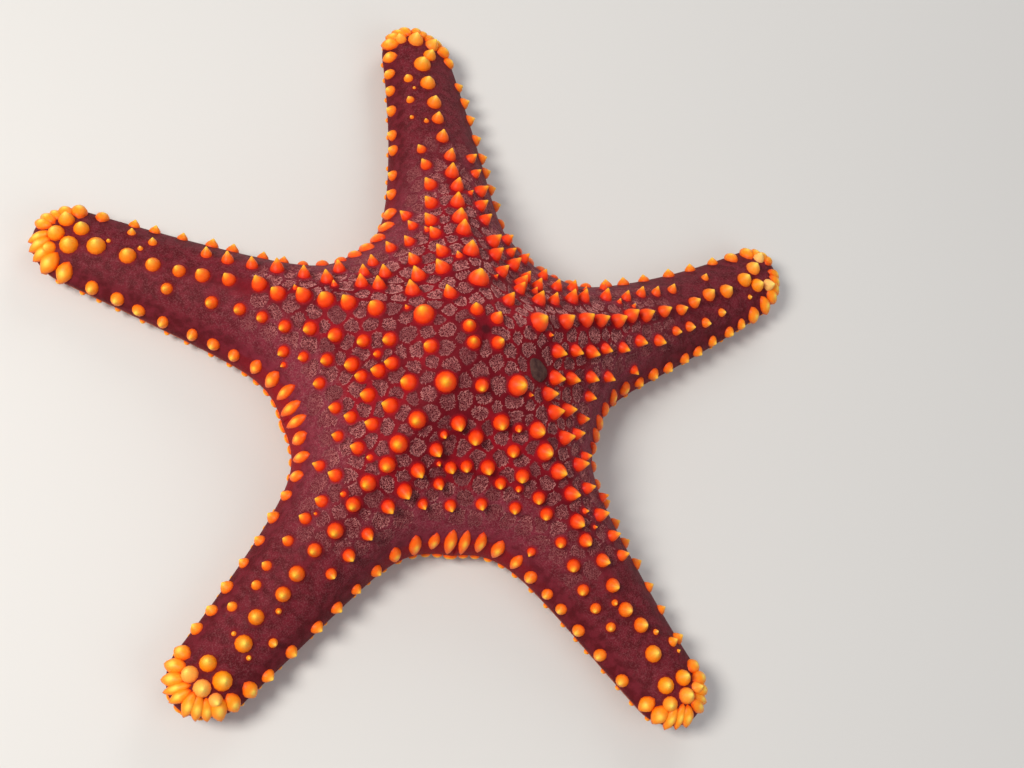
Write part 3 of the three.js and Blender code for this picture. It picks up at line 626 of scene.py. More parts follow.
class Finish:
    """A material with one principled shader, and the one way to add a node to it."""

    def __init__(self, name):
        self.material = bpy.data.materials.new(name)
        self.material.use_nodes = True
        self.tree = self.material.node_tree
        self.shader = self.tree.nodes["Principled BSDF"]

    def add(self, kind, settings, inputs, output=0):
        node = self.tree.nodes.new(kind)
        for key, value in settings.items():
            setattr(node, key, value)
        for key, value in inputs.items():
            self.feed(node.inputs[key], value)
        return Tap(self, node.outputs[output])

    def feed(self, socket, value):
        if isinstance(value, Tap):
            self.tree.links.new(value.socket, socket)
        else:
            socket.default_value = value

    def set(self, **values):
        for key, value in values.items():
            self.feed(self.shader.inputs[key.replace("_", " ")], value)

    def math(self, operation, first, second):
        return self.add("ShaderNodeMath", {"operation": operation}, {0: first, 1: second})

    def attribute(self, name):
        return self.add("ShaderNodeAttribute", {"attribute_name": name}, {}, output=2)

    def noise(self, scale, detail=3.0, roughness=0.55):
        """Noise over the object's own coordinates, in millimetres."""
        spot = self.add("ShaderNodeTexCoord", {}, {}, output=3)
        spot = self.add("ShaderNodeVectorMath", {"operation": "MULTIPLY"}, {0: spot, 1: (1 / MM,) * 3})
        return self.add("ShaderNodeTexNoise", {},
                        {"Vector": spot, "Scale": scale, "Detail": detail, "Roughness": roughness})

    def step(self, value, low, high, start=0.0, end=1.0):
        """A smooth step from start to end as value goes from low to high."""
        return self.add("ShaderNodeMapRange", {"interpolation_type": "SMOOTHSTEP"},
                        {"Value": value, 1: low, 2: high, 3: start, 4: end})

    def mix(self, factor, first, second):
        return self.add("ShaderNodeMix", {"data_type": "RGBA"}, {0: factor, 6: first, 7: second}, output=2)

    def bump(self, height, distance, strength):
        return self.add("ShaderNodeBump", {}, {"Height": height, "Distance": distance, "Strength": strength})


def paint(*screen):
    """A colour given as it looks on a screen, 0 to 255, as the shader's light values."""
    shares = [value / 255 for value in screen]
    return [f / 12.92 if f <= 0.04045 else ((f + 0.055) / 1.055) ** 2.4 for f in shares] + [1.0]


skin_finish = Finish("skin_finish")
mix, step, noise = skin_finish.mix, skin_finish.step, skin_finish.noise
sunk, foot, station, edge, sole, from_apex = (
    skin_finish.attribute(name) for name in ("sunken", "foot", "station", "edge", "sole", "apex"))
field_mask = step(sunk, -0.05, 0.35)
broad, fine, grain = noise(0.05, 2.0), noise(1.6, 4.0, 0.7), noise(0.35)
speckle = step(grain, 0.35, 0.65)
net = mix(step(broad, 0.4, 0.62), paint(104, 4, 20), paint(140, 8, 26))
arm_skin = mix(speckle, paint(84, 15, 23), paint(109, 28, 39))
wall_skin = mix(speckle, paint(106, 26, 40), paint(126, 38, 54))
outward = step(station, 0.36, 0.66)
ground = mix(step(edge + (grain - 0.5) * 6, 19.0, 13.0), net, wall_skin)
ground = mix(outward, ground, arm_skin)
rim_red = mix(outward, paint(146, 12, 22), paint(104, 12, 22))
rim = step(edge + (grain - 0.5) * 2.5 + step(station, 0.44, 0.6, -0.6, 0.0), 2.6, 1.0)
ground = mix(rim * (1.0 - outward * 0.8), ground, rim_red)
field_floor = mix(step(fine, 0.35, 0.7), paint(76, 11, 20), paint(102, 24, 33))
paved = field_mask * step(edge, 8.5, 13.5, 0.3, 1.0)
ground = mix(paved * (1.0 - outward * 0.5), ground, field_floor)
halo = step(foot, 1.1, -0.2)
foot_red = mix(outward, paint(178, 12, 16), paint(128, 20, 20))
ground = mix(halo * 0.6, ground, foot_red)
ground = mix(sole, ground, mix(speckle, paint(150, 56, 38), paint(188, 92, 56)))
maze = noise(1.25, 1.0, 0.5) - 0.5
maze = step(maze * maze, 0.0030, 0.0002)
wall = step(edge, 3.0, 6.0) * step(edge + station * 4.0, 21.0, 16.0)
shown = field_mask * 0.4 + (1.0 - field_mask) * wall * (0.36 - outward * 0.18)
ground = mix(maze * shown * (1.0 - halo), ground, paint(170, 104, 106))
ground = mix(step(from_apex, 2.2, 0.9) * 0.7, ground, paint(46, 8, 14))
bumps = skin_finish.bump(fine + maze * 0.5, 0.0003, 0.6)
skin_finish.set(Base_Color=ground, Roughness=step(fine, 0.3, 0.7, 0.5, 0.68), Normal=bumps)
skin_finish.set(Specular_IOR_Level=0.12)
skin_mesh.materials.append(skin_finish.material)

skin = placed("skin", skin_mesh)
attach(skin, "root")
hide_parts("disc", "arm_a", "arm_b", "arm_c", "arm_d", "arm_e")

# --- Tubercles ---
# Thorny knobs of solid lime that grow from the joints of the net: a round foot that
# runs up to a small blunt nipple. The skin over them glows from red to yellow.
THORN_PROFILE = ((0.53, -0.2), (0.525, 0.1), (0.47, 0.32), (0.36, 0.53), (0.205, 0.73), (0.1, 0.9))
THORN_SIDES, FOOT_SINK = 12, 0.2
BROAD_HEIGHT, SLIM_HEIGHT, LEAN = 0.74, 0.98, 0.3
TIP_PALENESS = (0.1, 0.26, 0.1, 0.0, 0.16)
PATTERN_REACH, PATTERN_TIP, PATTERN_EDGE, TUFT_PATCH = 0.48, 0.92, 0.03, 0.003


def ring_faces(rings, sides):
    """Quads that join each ring of an upright shape to the next."""
    return [(low + k, low + (k + 1) % sides, low + sides + (k + 1) % sides, low + sides + k)
            for low in range(0, (rings - 1) * sides, sides) for k in range(sides)]


def turned_shape(name, profile, sides):
    """A closed upright shape turned round Z, about one unit broad and tall."""
    points = [(radius * cos(2 * pi * k / sides), radius * sin(2 * pi * k / sides), height)
              for radius, height in profile for k in range(sides)] + [(0, 0, 1.0)]
    last = (len(profile) - 1) * sides
    cap = [(last + k, last + (k + 1) % sides, len(points) - 1) for k in range(sides)]
    mesh = mesh_of(name, points, [tuple(reversed(range(sides)))] + ring_faces(len(profile), sides) + cap)
    set_attribute(mesh, "rise", [point[2] for point in points])
    return bpy.data.objects.new(name, mesh)


def unwrap(mesh):
    """A flat pattern of an upright shape seen from its tip, its foot outermost."""
    points = np.array([vertex.co for vertex in mesh.vertices])
    low, high = points[:, 2].min(), points[:, 2].max()
    reach = PATTERN_REACH * (1 - PATTERN_TIP * (points[:, 2] - low) / (high - low))
    angle = np.arctan2(points[:, 1], points[:, 0])
    flat = 0.5 + np.stack([np.cos(angle), np.sin(angle)], -1) * reach[:, None]
    corners = np.empty(len(mesh.loops), int)
    mesh.loops.foreach_get("vertex_index", corners)
    return flat[corners]


def scatter_tree(name):
    """Geometry nodes that stand a shape on every point, turned and sized by the point."""
    tree = bpy.data.node_groups.new(name, "GeometryNodeTree")
    for label, kind in (("Points", "Geometry"), ("Shape", "Object"), ("Finish", "Material")):
        tree.interface.new_socket(label, in_out="INPUT", socket_type="NodeSocket" + kind)
    tree.interface.new_socket("Result", in_out="OUTPUT", socket_type="NodeSocketGeometry")

    def add(kind, settings={}, **inputs):
        """A node, with each of its named inputs set, or linked to the output given for it."""
        node = tree.nodes.new(kind)
        for key, value in settings.items():
            setattr(node, key, value)
        for key, value in inputs.items():
            if isinstance(value, str):
                node.inputs[key].default_value = value
            else:
                tree.links.new(value, node.inputs[key])
        return node.outputs

    start = add("NodeGroupInput")
    upward, facing, size = (
        add("GeometryNodeInputNamedAttribute", {"data_type": "FLOAT_VECTOR"}, Name=name)[0]
        for name in ("upward", "facing", "size"))
    upright = add("FunctionNodeAlignRotationToVector", {"axis": "Z"}, Vector=upward)
    turned = add("FunctionNodeAlignRotationToVector", {"axis": "X", "pivot_axis": "Z"},
                 Rotation=upright[0], Vector=facing)
    shape = add("GeometryNodeObjectInfo", Object=start["Shape"])
    copies = add("GeometryNodeInstanceOnPoints", Points=start["Points"], Instance=shape["Geometry"],
                 Rotation=turned[0], Scale=size)
    realized = add("GeometryNodeRealizeInstances", Geometry=copies[0])
    coat = add("GeometryNodeSetMaterial", Geometry=realized[0], Material=start["Finish"])
    add("NodeGroupOutput", Result=coat[0])
    return tree


scatter = scatter_tree("stand_on_points")


def scattered(name, shape, finish, rows, marks=()):
    """The shape stood on the place of every row, as one mesh.

    A row holds the place, the way up, the way faced, the size and a value for each mark.
    The mark "root" is a place on the skin's flat pattern, and each copy's own pattern is
    a small patch there. Without it, the patterns are squares of one board.
    """
    places, ups, facings, sizes, *numbers = zip(*rows)
    numbers = dict(zip(marks, numbers))
    roots = numbers.pop("root", None)
    mesh = mesh_of(name + "_points", ((np.asarray(places) + middle) * MM).tolist(), [])
    for key, vectors in (("upward", ups), ("facing", facings), ("size", np.asarray(sizes) * MM)):
        layer = mesh.attributes.new(key, "FLOAT_VECTOR", "POINT")
        layer.data.foreach_set("vector", np.asarray(vectors, np.float32).ravel())
    for key, values in numbers.items():
        set_attribute(mesh, key, values)
    source = placed(name + "_points", mesh)
    modifier = source.modifiers.new("scatter", "NODES")
    modifier.node_group = scatter
    keys = {item.name: item.identifier for item in scatter.interface.items_tree if item.in_out == "INPUT"}
    modifier[keys["Shape"]] = shape
    modifier[keys["Finish"]] = finish.material
    bpy.context.view_layer.update()
    evaluated = source.evaluated_get(bpy.context.evaluated_depsgraph_get())
    result = bpy.data.meshes.new_from_object(evaluated)
    bpy.data.objects.remove(source)
    result.name = name
    result.shade_smooth()
    flat = unwrap(shape.data)
    if roots is None:
        board = ceil(sqrt(len(places)))
        squares = np.stack([np.arange(len(places)) % board, np.arange(len(places)) // board], -1)
        pattern = (squares[:, None] + PATTERN_EDGE + (1 - 2 * PATTERN_EDGE) * flat[None]) / board
    else:
        pattern = np.asarray(roots)[:, None] + TUFT_PATCH * (flat[None] - 0.5)
    for layer in list(result.uv_layers):
        result.uv_layers.remove(layer)
    result.uv_layers.new(name="OFBake").data.foreach_set("uv", pattern.ravel())
    return placed(name, result)


def stand_at(x, y, sink=FOOT_SINK):
    """Foot, outward normal and way down the slope for something on the upper skin."""
    place, up = on_top(x, y)
    down = Vector((up.x, up.y, 0)) + Vector((1e-4, 0, 0))
    down = (down - up * down.dot(up)).normalized()
    return place - up * sink, up, down


thorn = turned_shape("thorn", THORN_PROFILE, THORN_SIDES)
thorn_finish = Finish("thorn_finish")
mix, step = thorn_finish.mix, thorn_finish.step
tone = thorn_finish.attribute("tone")
height = thorn_finish.attribute("rise") + (thorn_finish.noise(0.6) - 0.5) * 0.18
low_red = mix(tone, paint(206, 22, 8), paint(232, 80, 4))
mid_orange = mix(tone, paint(248, 72, 12), paint(255, 148, 20))
top_yellow = mix(tone, paint(255, 178, 36), paint(255, 214, 84))
glow = mix(step(height, -0.05, 0.5), low_red, mid_orange)
glow = mix(step(height, 0.5, 1.02), glow, top_yellow)
glow = mix(step(tone, 1.0, 1.4) * 0.8, glow, paint(255, 226, 140))
thorn_finish.set(Base_Color=glow, Roughness=0.42, Specular_IOR_Level=0.2)
thorn_finish.set(Subsurface_Weight=0.12, Subsurface_Scale=1 * MM)
thorn_finish.set(Normal=thorn_finish.bump(thorn_finish.noise(2.5), 0.0002, 0.5))

rows = []
for (arm, out, _, width), spot in zip(tubercles, tubercle_place):
    foot, up, down = stand_at(spot[0], spot[1])
    station = station_of(arm, out)
    slim = smooth(6.2, 4.8, width) * (1 - 0.75 * smooth(0.5, 0.85, station))
    lean = LEAN * slim * smooth(4.0, 16.0, hypot(spot[0], spot[1]))
    tall = BROAD_HEIGHT + (SLIM_HEIGHT - BROAD_HEIGHT) * slim
    tint = smooth(0.42, 1.0, station) + TIP_PALENESS[arm] * smooth(0.88, 0.94, station)
    rows.append((foot, (up + down * lean).normalized(), down, (width, width, width * tall + FOOT_SINK), tint))
tubercle_piece = scattered("tubercles", thorn, thorn_finish, rows, ["tone"])
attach(tubercle_piece, "root")
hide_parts("disc", "arm_a", "arm_b", "arm_c", "arm_d", "arm_e")

# --- Margin plates ---
# A double row of swollen lime plates frames the star. The upper ones stand up the wall
# like flames in the notches, and turn to round knobs along the arms and to broad plates
# near the tips. The lower ones peep out beneath as a thin orange rim.
MARGIN_FIRST, MARGIN_STEP, MARGIN_FINE, MARGIN_END = 2.6, 5.2, 241, 1.5
FLAME_LENGTH, KNOB_LENGTH, TIP_PLATE_LENGTH = 8.0, 4.4, 6.4
FLAME_REACH, PLATE_WIDTH, KNOB_SPACE = 21.0, 4.1, 3.8
RIM_STEP, RIM_HEIGHT = 3.9, 4.6
BEAD_PROFILE = ((0.5, -0.3), (0.5, 0.1), (0.47, 0.4), (0.38, 0.7), (0.22, 0.92))


def flame_shape(name):
    """A swollen plate one unit long and wide, broadest uphill and drawn to a point downhill."""
    shape = turned_shape(name, THORN_PROFILE, THORN_SIDES)
    for vertex in shape.data.vertices:
        x, y, z = vertex.co
        pointed = 1 + (0.42 if x < 0 else 0.2) * (abs(x) / THORN_PROFILE[0][0]) ** 3
        narrowed = 1.04 - 0.5 * x - 0.4 * x * x
        deep = -0.8 if z < 0 else min(z, 0.62 + 0.3 * (z - 0.62))
        vertex.co = (x * pointed - 0.16 * max(z, 0) ** 2, y * narrowed, deep)
    return shape


def at_margin(along, side, line, walked):
    """The spot that far along the line of a margin, and the way out of the body there."""
    spot, ahead, behind = (np.array([np.interp(along + more, walked, line[:, axis]) for axis in (0, 1)])
                           for more in (0, 0.5, -0.5))
    run = (ahead - behind) / norm(ahead - behind)
    return spot, np.array((-side * run[1], side * run[0]))


flame = flame_shape("flame")
bead = turned_shape("bead", BEAD_PROFILE, 10)
flame_rows, knob_rows, rim_rows = [], [], []
for arm, side in SIDES:
    outs, line = margin_line(arm, side, MARGIN_FINE)
    walked = np.concatenate([[0], np.cumsum(norm(np.diff(line, axis=0), axis=1))])
    along, key = MARGIN_FIRST, 3000 + 97 * arm + 41 * side
    while along < walked[-1] - MARGIN_END:
        spot, away = at_margin(along, side, line, walked)
        share = along / walked[-1]
        station = station_of(arm, np.interp(along, walked, outs))
        flare = exp(-(along / FLAME_REACH) ** 2)
        broad = smooth(0.68, 0.9, share)
        ending = smooth(0.86, 0.95, share)
        long = KNOB_LENGTH + (FLAME_LENGTH - KNOB_LENGTH) * flare + (TIP_PLATE_LENGTH - KNOB_LENGTH) * broad
        long *= 1 + 0.15 * wobble(key) + 0.1 * ending
        wide = PLATE_WIDTH * (1 + 0.12 * wobble(key + 0.5)) - 0.3 * flare + 1.2 * broad - 1.5 * ending
        tall = (0.7 - 0.04 * flare + 0.02 * broad) * wide
        inset = 1.1 + 1.0 * flare + 0.7 * broad + 0.25 * wobble(key + 0.2)
        foot, up, down = stand_at(*(spot - inset * away), 0.3)
        kind = flame_rows if flare > 0.25 or broad > 0.3 else knob_rows
        kind.append((foot, up, down, (long, wide, tall), 1.15 * station - 0.2))
        spaced = (1 - flare) * (1 - broad) * (KNOB_SPACE + 2.4 * wobble(key + 0.7))
        along += MARGIN_STEP + spaced - 1.2 * broad - 0.8 * ending
        key += 1
    along = MARGIN_FIRST - RIM_STEP / 2
    while along < walked[-1]:
        spot, away = at_margin(along, side, line, walked)
        away = Vector((*away, -0.25)).normalized()
        out = np.interp(along, walked, outs)
        flare = exp(-(along / FLAME_REACH) ** 2)
        ending = smooth(0.86, 1.0, along / walked[-1])
        foot = Vector((*spot, RIM_HEIGHT + 0.9 * flare + curl_lift(arm, out)))
        foot -= away * (1.3 - 0.5 * flare - 0.2 * ending)
        small = (1 - flare) * (1 - ending)
        size = (3.0 - small, RIM_STEP * (1.02 - 0.42 * small), 1.7)
        rim_rows.append((foot, away, -UP, size, 0.1 + 0.3 * station_of(arm, out)))
        along += RIM_STEP * (1 + small * (0.9 + 0.5 * wobble(3500 + 7 * arm + along)))
for name, shape, rows in (("margin_flames", flame, flame_rows), ("margin_knobs", thorn, knob_rows),
                          ("margin_rim", bead, rim_rows)):
    piece = scattered(name, shape, thorn_finish, rows, ["tone"])
    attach(piece, "root")
    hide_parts("disc", "arm_a", "arm_b", "arm_c", "arm_d", "arm_e")

# --- Grains ---
# Fine, pale, worm-like granules of lime that pave the soft fields between the plates,
# each about a millimetre long and set every which way like a maze.
GRAIN_SIZE, GRAIN_STEP, GRAIN_ROW = (0.84, 1.0, 0.85), 0.74, 0.87
GRAIN_SPINE = ((-0.5, -0.10), (-0.17, 0.12), (0.17, -0.12), (0.5, 0.10))
GRAIN_HALF, GRAIN_FOOT, GRAIN_CREST = 0.15, -0.12, 0.26
DISC_END, SLOPES_END = 33, 52
points = []
for x, bend in GRAIN_SPINE:
    points += [(x, bend - GRAIN_HALF, GRAIN_FOOT), (x, bend + GRAIN_HALF, GRAIN_FOOT), (x, bend, GRAIN_CREST)]
faces = [tuple(reversed(face)) for face in ring_faces(len(GRAIN_SPINE), 3) + [(0, 2, 1), (9, 10, 11)]]
worm = bpy.data.objects.new("worm", mesh_of("worm", points, faces))
rows = []
for order, field in enumerate(fields):
    up = base_tree.find_nearest(Vector(field))[1]
    side_way = up.orthogonal().normalized()
    other_way = up.cross(side_way)
    for i in range(-6, 7):
        for j in range(-7, 8):
            key = 11 * order + i + 0.37 * j
            u = (i + (j % 2) / 2 + 0.3 * wobble(key)) * GRAIN_STEP
            v = (j + 0.3 * wobble(key + 0.5)) * GRAIN_STEP * GRAIN_ROW
            if u * u + v * v < FIELD_RADIUS ** 2:
                rows.append((Vector(field) + side_way * u + other_way * v, key))
depth, _, home = sunken_at(np.array([tuple(row[0]) for row in rows]))
grain_sets = {"grains_disc": [], "grains_slopes": [], "grains_arms": []}
for index in np.flatnonzero(depth > 0.05):
    site, key = rows[index]
    place, up, face, _ = base_tree.find_nearest(site)
    side_way = up.orthogonal().normalized()
    turn = pi * wobble(key + 0.9)
    facing = side_way * cos(turn) + up.cross(side_way) * sin(turn)
    sunk = FIELD_SINK * smooth(*FIELD_WALL, depth[index])
    radius = hypot(place.x, place.y)
    name = "grains_disc" if radius < DISC_END else "grains_slopes" if radius < SLOPES_END else "grains_arms"
    corner = skin_quads[face, 0]
    faint = max(smooth(0.42, 0.62, point_station[corner]), smooth(11.5, 8.0, point_edge[corner]),
                0.8 * smooth(0.35, 0.75, wobble(6800 + home[index])))
    grain_sets[name].append((place - up * sunk, up, facing, GRAIN_SIZE, smooth(0.7, 0.2, depth[index]),
                             faint, pattern_of_point[corner]))
grain_finish = Finish("grain_finish")
mix, attribute = grain_finish.mix, grain_finish.attribute
pale = grain_finish.step(grain_finish.noise(0.7, 2.0), 0.35, 0.65)
grain_colour = mix(pale, paint(158, 80, 82), paint(212, 136, 131))
grain_colour = mix(attribute("rim") * 0.45, grain_colour, paint(218, 152, 146))
grain_colour = mix(attribute("faint") * 0.65, grain_colour, paint(116, 44, 52))
grain_finish.set(Base_Color=grain_colour, Roughness=0.5, Specular_IOR_Level=0.15)
for name, rows in grain_sets.items():
    piece = scattered(name, worm, grain_finish, rows, ["rim", "faint", "root"])
    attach(piece, "root")
    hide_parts("disc", "arm_a", "arm_b", "arm_c", "arm_d", "arm_e")

# --- Sieve plate ---
# A bare, low dome of porous lime between two arms, through which the star draws in
# water. Fine furrows wind outwards over it. It is dull and dark brown.
SIEVE_RINGS, SIEVE_SECTORS, SIEVE_FURROWS = 20, 96, 26
SIEVE_FOOT, SIEVE_FURROW_DEPTH = -1.5, 0.07
points = []
for ring in range(SIEVE_RINGS + 1):
    share = min((ring + 1) / SIEVE_RINGS, 1.0)
    for k in range(SIEVE_SECTORS):
        angle = 2 * pi * k / SIEVE_SECTORS
        lobes = 1 + 0.06 * sin(3 * angle + 0.5) + 0.04 * sin(5 * angle)
        radius = SIEVE_RADIUS * share * lobes * (1 + 0.12 * cos(2 * angle))
        winding = sin(SIEVE_FURROWS * angle + 2.5 * sin(7 * share) + sin(3 * angle))
        height = SIEVE_RISE * sqrt(1 - share * share) + SIEVE_FURROW_DEPTH * winding * share
        if ring == SIEVE_RINGS:
            height = SIEVE_FOOT
        points.append((radius * cos(angle), radius * sin(angle), height))
points += [(0, 0, SIEVE_RISE), (0, 0, SIEVE_FOOT)]
faces = [tuple(reversed(face)) for face in ring_faces(SIEVE_RINGS + 1, SIEVE_SECTORS)]
for k in range(SIEVE_SECTORS):
    following, last = (k + 1) % SIEVE_SECTORS, SIEVE_RINGS * SIEVE_SECTORS
    faces += [(k, following, len(points) - 2), (last + following, last + k, len(points) - 1)]
spot, up = on_top(sieve_place[0], sieve_place[1])
down = Vector((up.x, up.y, 0)).normalized()
upright = Matrix((down - up * down.dot(up), up.cross(down), up)).transposed()
points = [(upright @ Vector(point) + spot + Vector(middle)) * MM for point in points]
sieve_mesh = mesh_of("sieve", points, faces)
sieve_mesh.shade_smooth()
sieve_finish = Finish("sieve_finish")
cloud = sieve_finish.step(sieve_finish.noise(0.5, 4.0), 0.35, 0.7)
dark_lime = sieve_finish.mix(cloud, paint(62, 34, 34), paint(92, 62, 54))
sieve_finish.set(Base_Color=dark_lime, Roughness=0.6, Specular_IOR_Level=0.15)
sieve_mesh.materials.append(sieve_finish.material)
sieve = placed("sieve", sieve_mesh)
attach(sieve, "root")
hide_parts("sieve_plate")

# --- Sole granules ---
# Flat limy granules that pave the underside in rows beside each furrow, largest next to
# the furrow and finer towards the margin, orange over a brick-red skin.
SOLE_STEP, SOLE_ROWS, SOLE_ROW_LENGTH, SOLE_FROM = 2.3, 17, 70, 10
GRANULE_SIZE, GRANULE_HEIGHT, GRANULE_SINK, GRANULE_INSET = 1.9, 0.68, 0.25, 2.0
SEAM_GAP, SEAM_END = 70, 62
STUB_PROFILE = ((0.52, -0.25), (0.5, 0.1), (0.4, 0.6), (0.2, 0.9))
stub = turned_shape("stub", STUB_PROFILE, 6)
sole_finish = Finish("sole_finish")
cloud = sole_finish.step(sole_finish.noise(0.25), 0.35, 0.65)
lime = sole_finish.mix(cloud, paint(206, 96, 44), paint(232, 150, 84))
sole_finish.set(Base_Color=lime, Roughness=0.5, Specular_IOR_Level=0.2)
rows = []
for arm, side, lane, k in product(range(5), (-1, 1), range(SOLE_ROWS), range(SOLE_ROW_LENGTH)):
    key = 5000 + 900 * arm + 450 * side + 70 * lane + k
    offset = FURROW_HALF + 1.6 + SOLE_STEP * 0.9 * lane
    out = SOLE_FROM + SOLE_STEP * k + (SOLE_STEP / 2 if lane % 2 else 0) + 0.3 * wobble(key)
    if out > LENGTH[arm] - 3:
        continue
    x, y = plan(arm, out, 0)
    x -= sin(BEARING[arm]) * offset * side
    y += cos(BEARING[arm]) * offset * side
    radius = hypot(x, y)
    off_arm = abs((degrees(atan2(y, x)) - DIRECTION[arm] + 180) % 360 - 180)
    past_seam = off_arm > degrees(half_gap(arm, side)) - SEAM_GAP / max(radius, 9)
    if past_seam and radius < SEAM_END or distance_to_margin((x, y)) < GRANULE_INSET:
        continue
    place, up, _, _ = base_tree.ray_cast(Vector((x, y, -9)), UP)
    if place is None or up.z > -0.5:
        continue
    size = GRANULE_SIZE * (1 - 0.3 * lane / SOLE_ROWS) * (1 + 0.15 * wobble(key + 0.5))
    rows.append((place - up * GRANULE_SINK, up, Vector((1, 0, 0)), (size, size, GRANULE_HEIGHT)))
granules = scattered("sole_granules", stub, sole_finish, rows)
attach(granules, "root")
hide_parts("disc", "arm_a", "arm_b", "arm_c", "arm_d", "arm_e")

# --- Furrow spines ---
# Combs of blunt limy spines, jointed to the plates along both sides of each furrow. They
# lie across the furrow and guard the feet inside it. Stouter ones on the jaws ring the mouth.
SPINE_STEP, SPINE_LENGTH, SPINE_WIDTH, SPINE_HEIGHT = 1.25, 2.5, 0.95, 0.95
SPINES_FROM, SPINES_SHORT = 10.5, 18
SPINE_PROFILE = ((0.5, -0.1), (0.46, 0.35), (0.36, 0.75), (0.2, 0.95))
JAW_SPINES, JAW_SPINE_STEP, JAW_SPINE_WIDTH = 7, 1.1, 1.3


def heading(angle):
    """The ways ahead and to the left for a bearing."""
    ahead = Vector((cos(angle), sin(angle), 0))
    return ahead, Vector((-ahead.y, ahead.x, 0))


spine = turned_shape("spine", SPINE_PROFILE, 6)
rows = []
for arm, side in SIDES:
    ahead, aside = heading(BEARING[arm])
    aside = aside * side
    for k in range(int((LENGTH[arm] - SPINES_SHORT) / SPINE_STEP)):
        key = 9000 + 300 * arm + 150 * side + k
        out = SPINES_FROM + SPINE_STEP * k
        size = furrow_size(arm, out)
        foot = Vector((*plan(arm, out, 0), SOLE + SPINE_HEIGHT + curl_lift(arm, out)))
        foot += aside * (FURROW_HALF * size + 0.5)
        lean = aside * -1 + Vector((0, 0, -0.12 - 0.1 * abs(wobble(key))))
        lean += ahead * 0.25 * wobble(key + 0.3)
        wide = SPINE_WIDTH * size
        rows.append((foot, lean.normalized(), UP, (wide, wide, SPINE_LENGTH * size)))
for arm in range(5):
    ahead, aside = heading(BEARING[arm] + half_gap(arm, 1))
    for k in range(JAW_SPINES):
        off = k - JAW_SPINES // 2
        offset = off * JAW_SPINE_STEP
        foot = ahead * (8.2 - 0.5 * abs(off)) + aside * offset + Vector((0, 0, 1.9))
        lean = (ahead * -1 - aside * offset * 0.16 + Vector((0, 0, -0.25))).normalized()
        size = (JAW_SPINE_WIDTH, JAW_SPINE_WIDTH, 3.4 - 0.3 * abs(off))
        rows.append((foot, lean, UP, size))
spines = scattered("furrow_spines", spine, sole_finish, rows)
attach(spines, "root")
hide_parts("disc", "arm_a", "arm_b", "arm_c", "arm_d", "arm_e")

# --- Jaws ---
# Five swollen, blunt wedges of lime that close the mouth, one between each two furrows.
# Each is the fused innermost plates of its two furrows, bound to the next by muscle.
JAW_OUT, JAW_HEIGHT, JAW_SIZE = 8.6, 5.2, (8.5, 5.6, 5.2)
rows = []
for arm in range(5):
    ahead, _ = heading(BEARING[arm] + half_gap(arm, 1))
    rows.append((ahead * JAW_OUT + Vector((0, 0, JAW_HEIGHT)), -UP, ahead, JAW_SIZE))
jaws = scattered("jaws", flame, sole_finish, rows)
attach(jaws, "root")
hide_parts("disc")

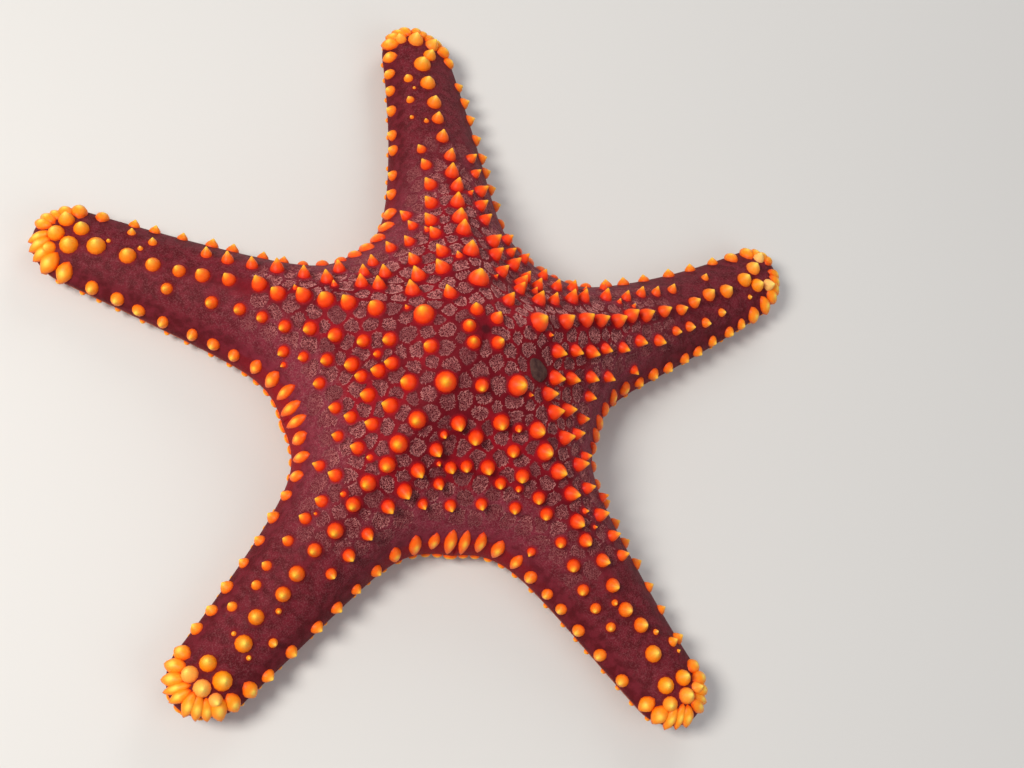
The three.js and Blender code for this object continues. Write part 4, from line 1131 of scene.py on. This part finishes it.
# --- Tube feet ---
# Soft hollow feet of skin and muscle in two rows along every furrow, each ending in a
# flat sucker that just clears the ground. The stalks are tan and the suckers cream.
FOOT_STEP, FOOT_WIDTH, FOOT_CLEAR = 2.5, 1.7, 0.7
FEET_FROM, FEET_SHORT = 11.5, 21
FOOT_PROFILE = ((0.3, -0.1), (0.3, 0.2), (0.26, 0.5), (0.24, 0.78), (0.36, 0.86), (0.5, 0.93), (0.47, 0.98))
tube_foot = turned_shape("tube_foot", FOOT_PROFILE, 8)
rows = []
for arm, side in SIDES:
    aside = heading(BEARING[arm])[1] * side
    for k in range(int((LENGTH[arm] - FEET_SHORT) / FOOT_STEP)):
        key = 12000 + 300 * arm + 150 * side + k
        out = FEET_FROM + FOOT_STEP * (k + (0.5 if side > 0 else 0))
        size = furrow_size(arm, out)
        lift = curl_lift(arm, out)
        roof = SOLE + FURROW_DEPTH * size + lift
        lean = Vector((0.1 * wobble(key), 0.1 * wobble(key + 0.4), -1)).normalized()
        foot = Vector((*plan(arm, out, 0), roof)) + aside * 1.0 * size
        tall = roof - FOOT_CLEAR - lift * 0.8
        rows.append((foot, lean, aside, (FOOT_WIDTH * size, FOOT_WIDTH * size, tall)))
feet_finish = Finish("feet_finish")
mix, step = feet_finish.mix, feet_finish.step
stalk = mix(step(feet_finish.noise(1.2), 0.35, 0.65), paint(222, 152, 92), paint(240, 192, 134))
cream = mix(step(feet_finish.attribute("rise"), 0.8, 0.93), stalk, paint(246, 216, 172))
feet_finish.set(Base_Color=cream, Roughness=0.35, Subsurface_Weight=0.2, Subsurface_Scale=1 * MM)
feet = scattered("tube_feet", tube_foot, feet_finish, rows)
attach(feet, "root")
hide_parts("disc", "arm_a", "arm_b", "arm_c", "arm_d", "arm_e")

# --- Stage ---
# A plain pale floor under the star, and studio lights: a bright one high on the left,
# and two weaker and broader ones that open the shadows.
FLOOR_HALF, WORLD_LIGHT = 3.0, 0.34
LIGHTS = (
    ("key", (-0.62, -0.12, 0.74), 0.35, 8.5, (1.0, 0.97, 0.93)),
    ("fill", (0.60, -0.45, 0.65), 0.70, 1.6, (0.93, 0.96, 1.0)),
    ("rim", (0.30, 0.80, 0.50), 0.50, 2.2, (1.0, 1.0, 1.0)),
)
corners = [(x * FLOOR_HALF, y * FLOOR_HALF, 0) for x, y in ((-1, -1), (1, -1), (1, 1), (-1, 1))]
floor = placed("floor", mesh_of("floor", corners, [(0, 1, 2, 3)]))
floor_finish = Finish("floor_finish")
floor_finish.set(Base_Color=paint(214, 211, 206), Roughness=0.8)
floor.data.materials.append(floor_finish.material)
world = bpy.data.worlds.new("studio")
world.use_nodes = True
sky = world.node_tree.nodes["Background"].inputs
sky["Color"].default_value = (0.9, 0.93, 1.0, 1.0)
sky["Strength"].default_value = WORLD_LIGHT
bpy.context.scene.world = world
for name, place, size, power, colour in LIGHTS:
    lamp = bpy.data.lights.new(name, "AREA")
    lamp.shape = "DISK"
    lamp.size = size
    lamp.energy = power
    lamp.color = colour
    light = placed(name, lamp)
    light.location = place
    light.rotation_euler = (-Vector(place)).to_track_quat("-Z", "Y").to_euler()
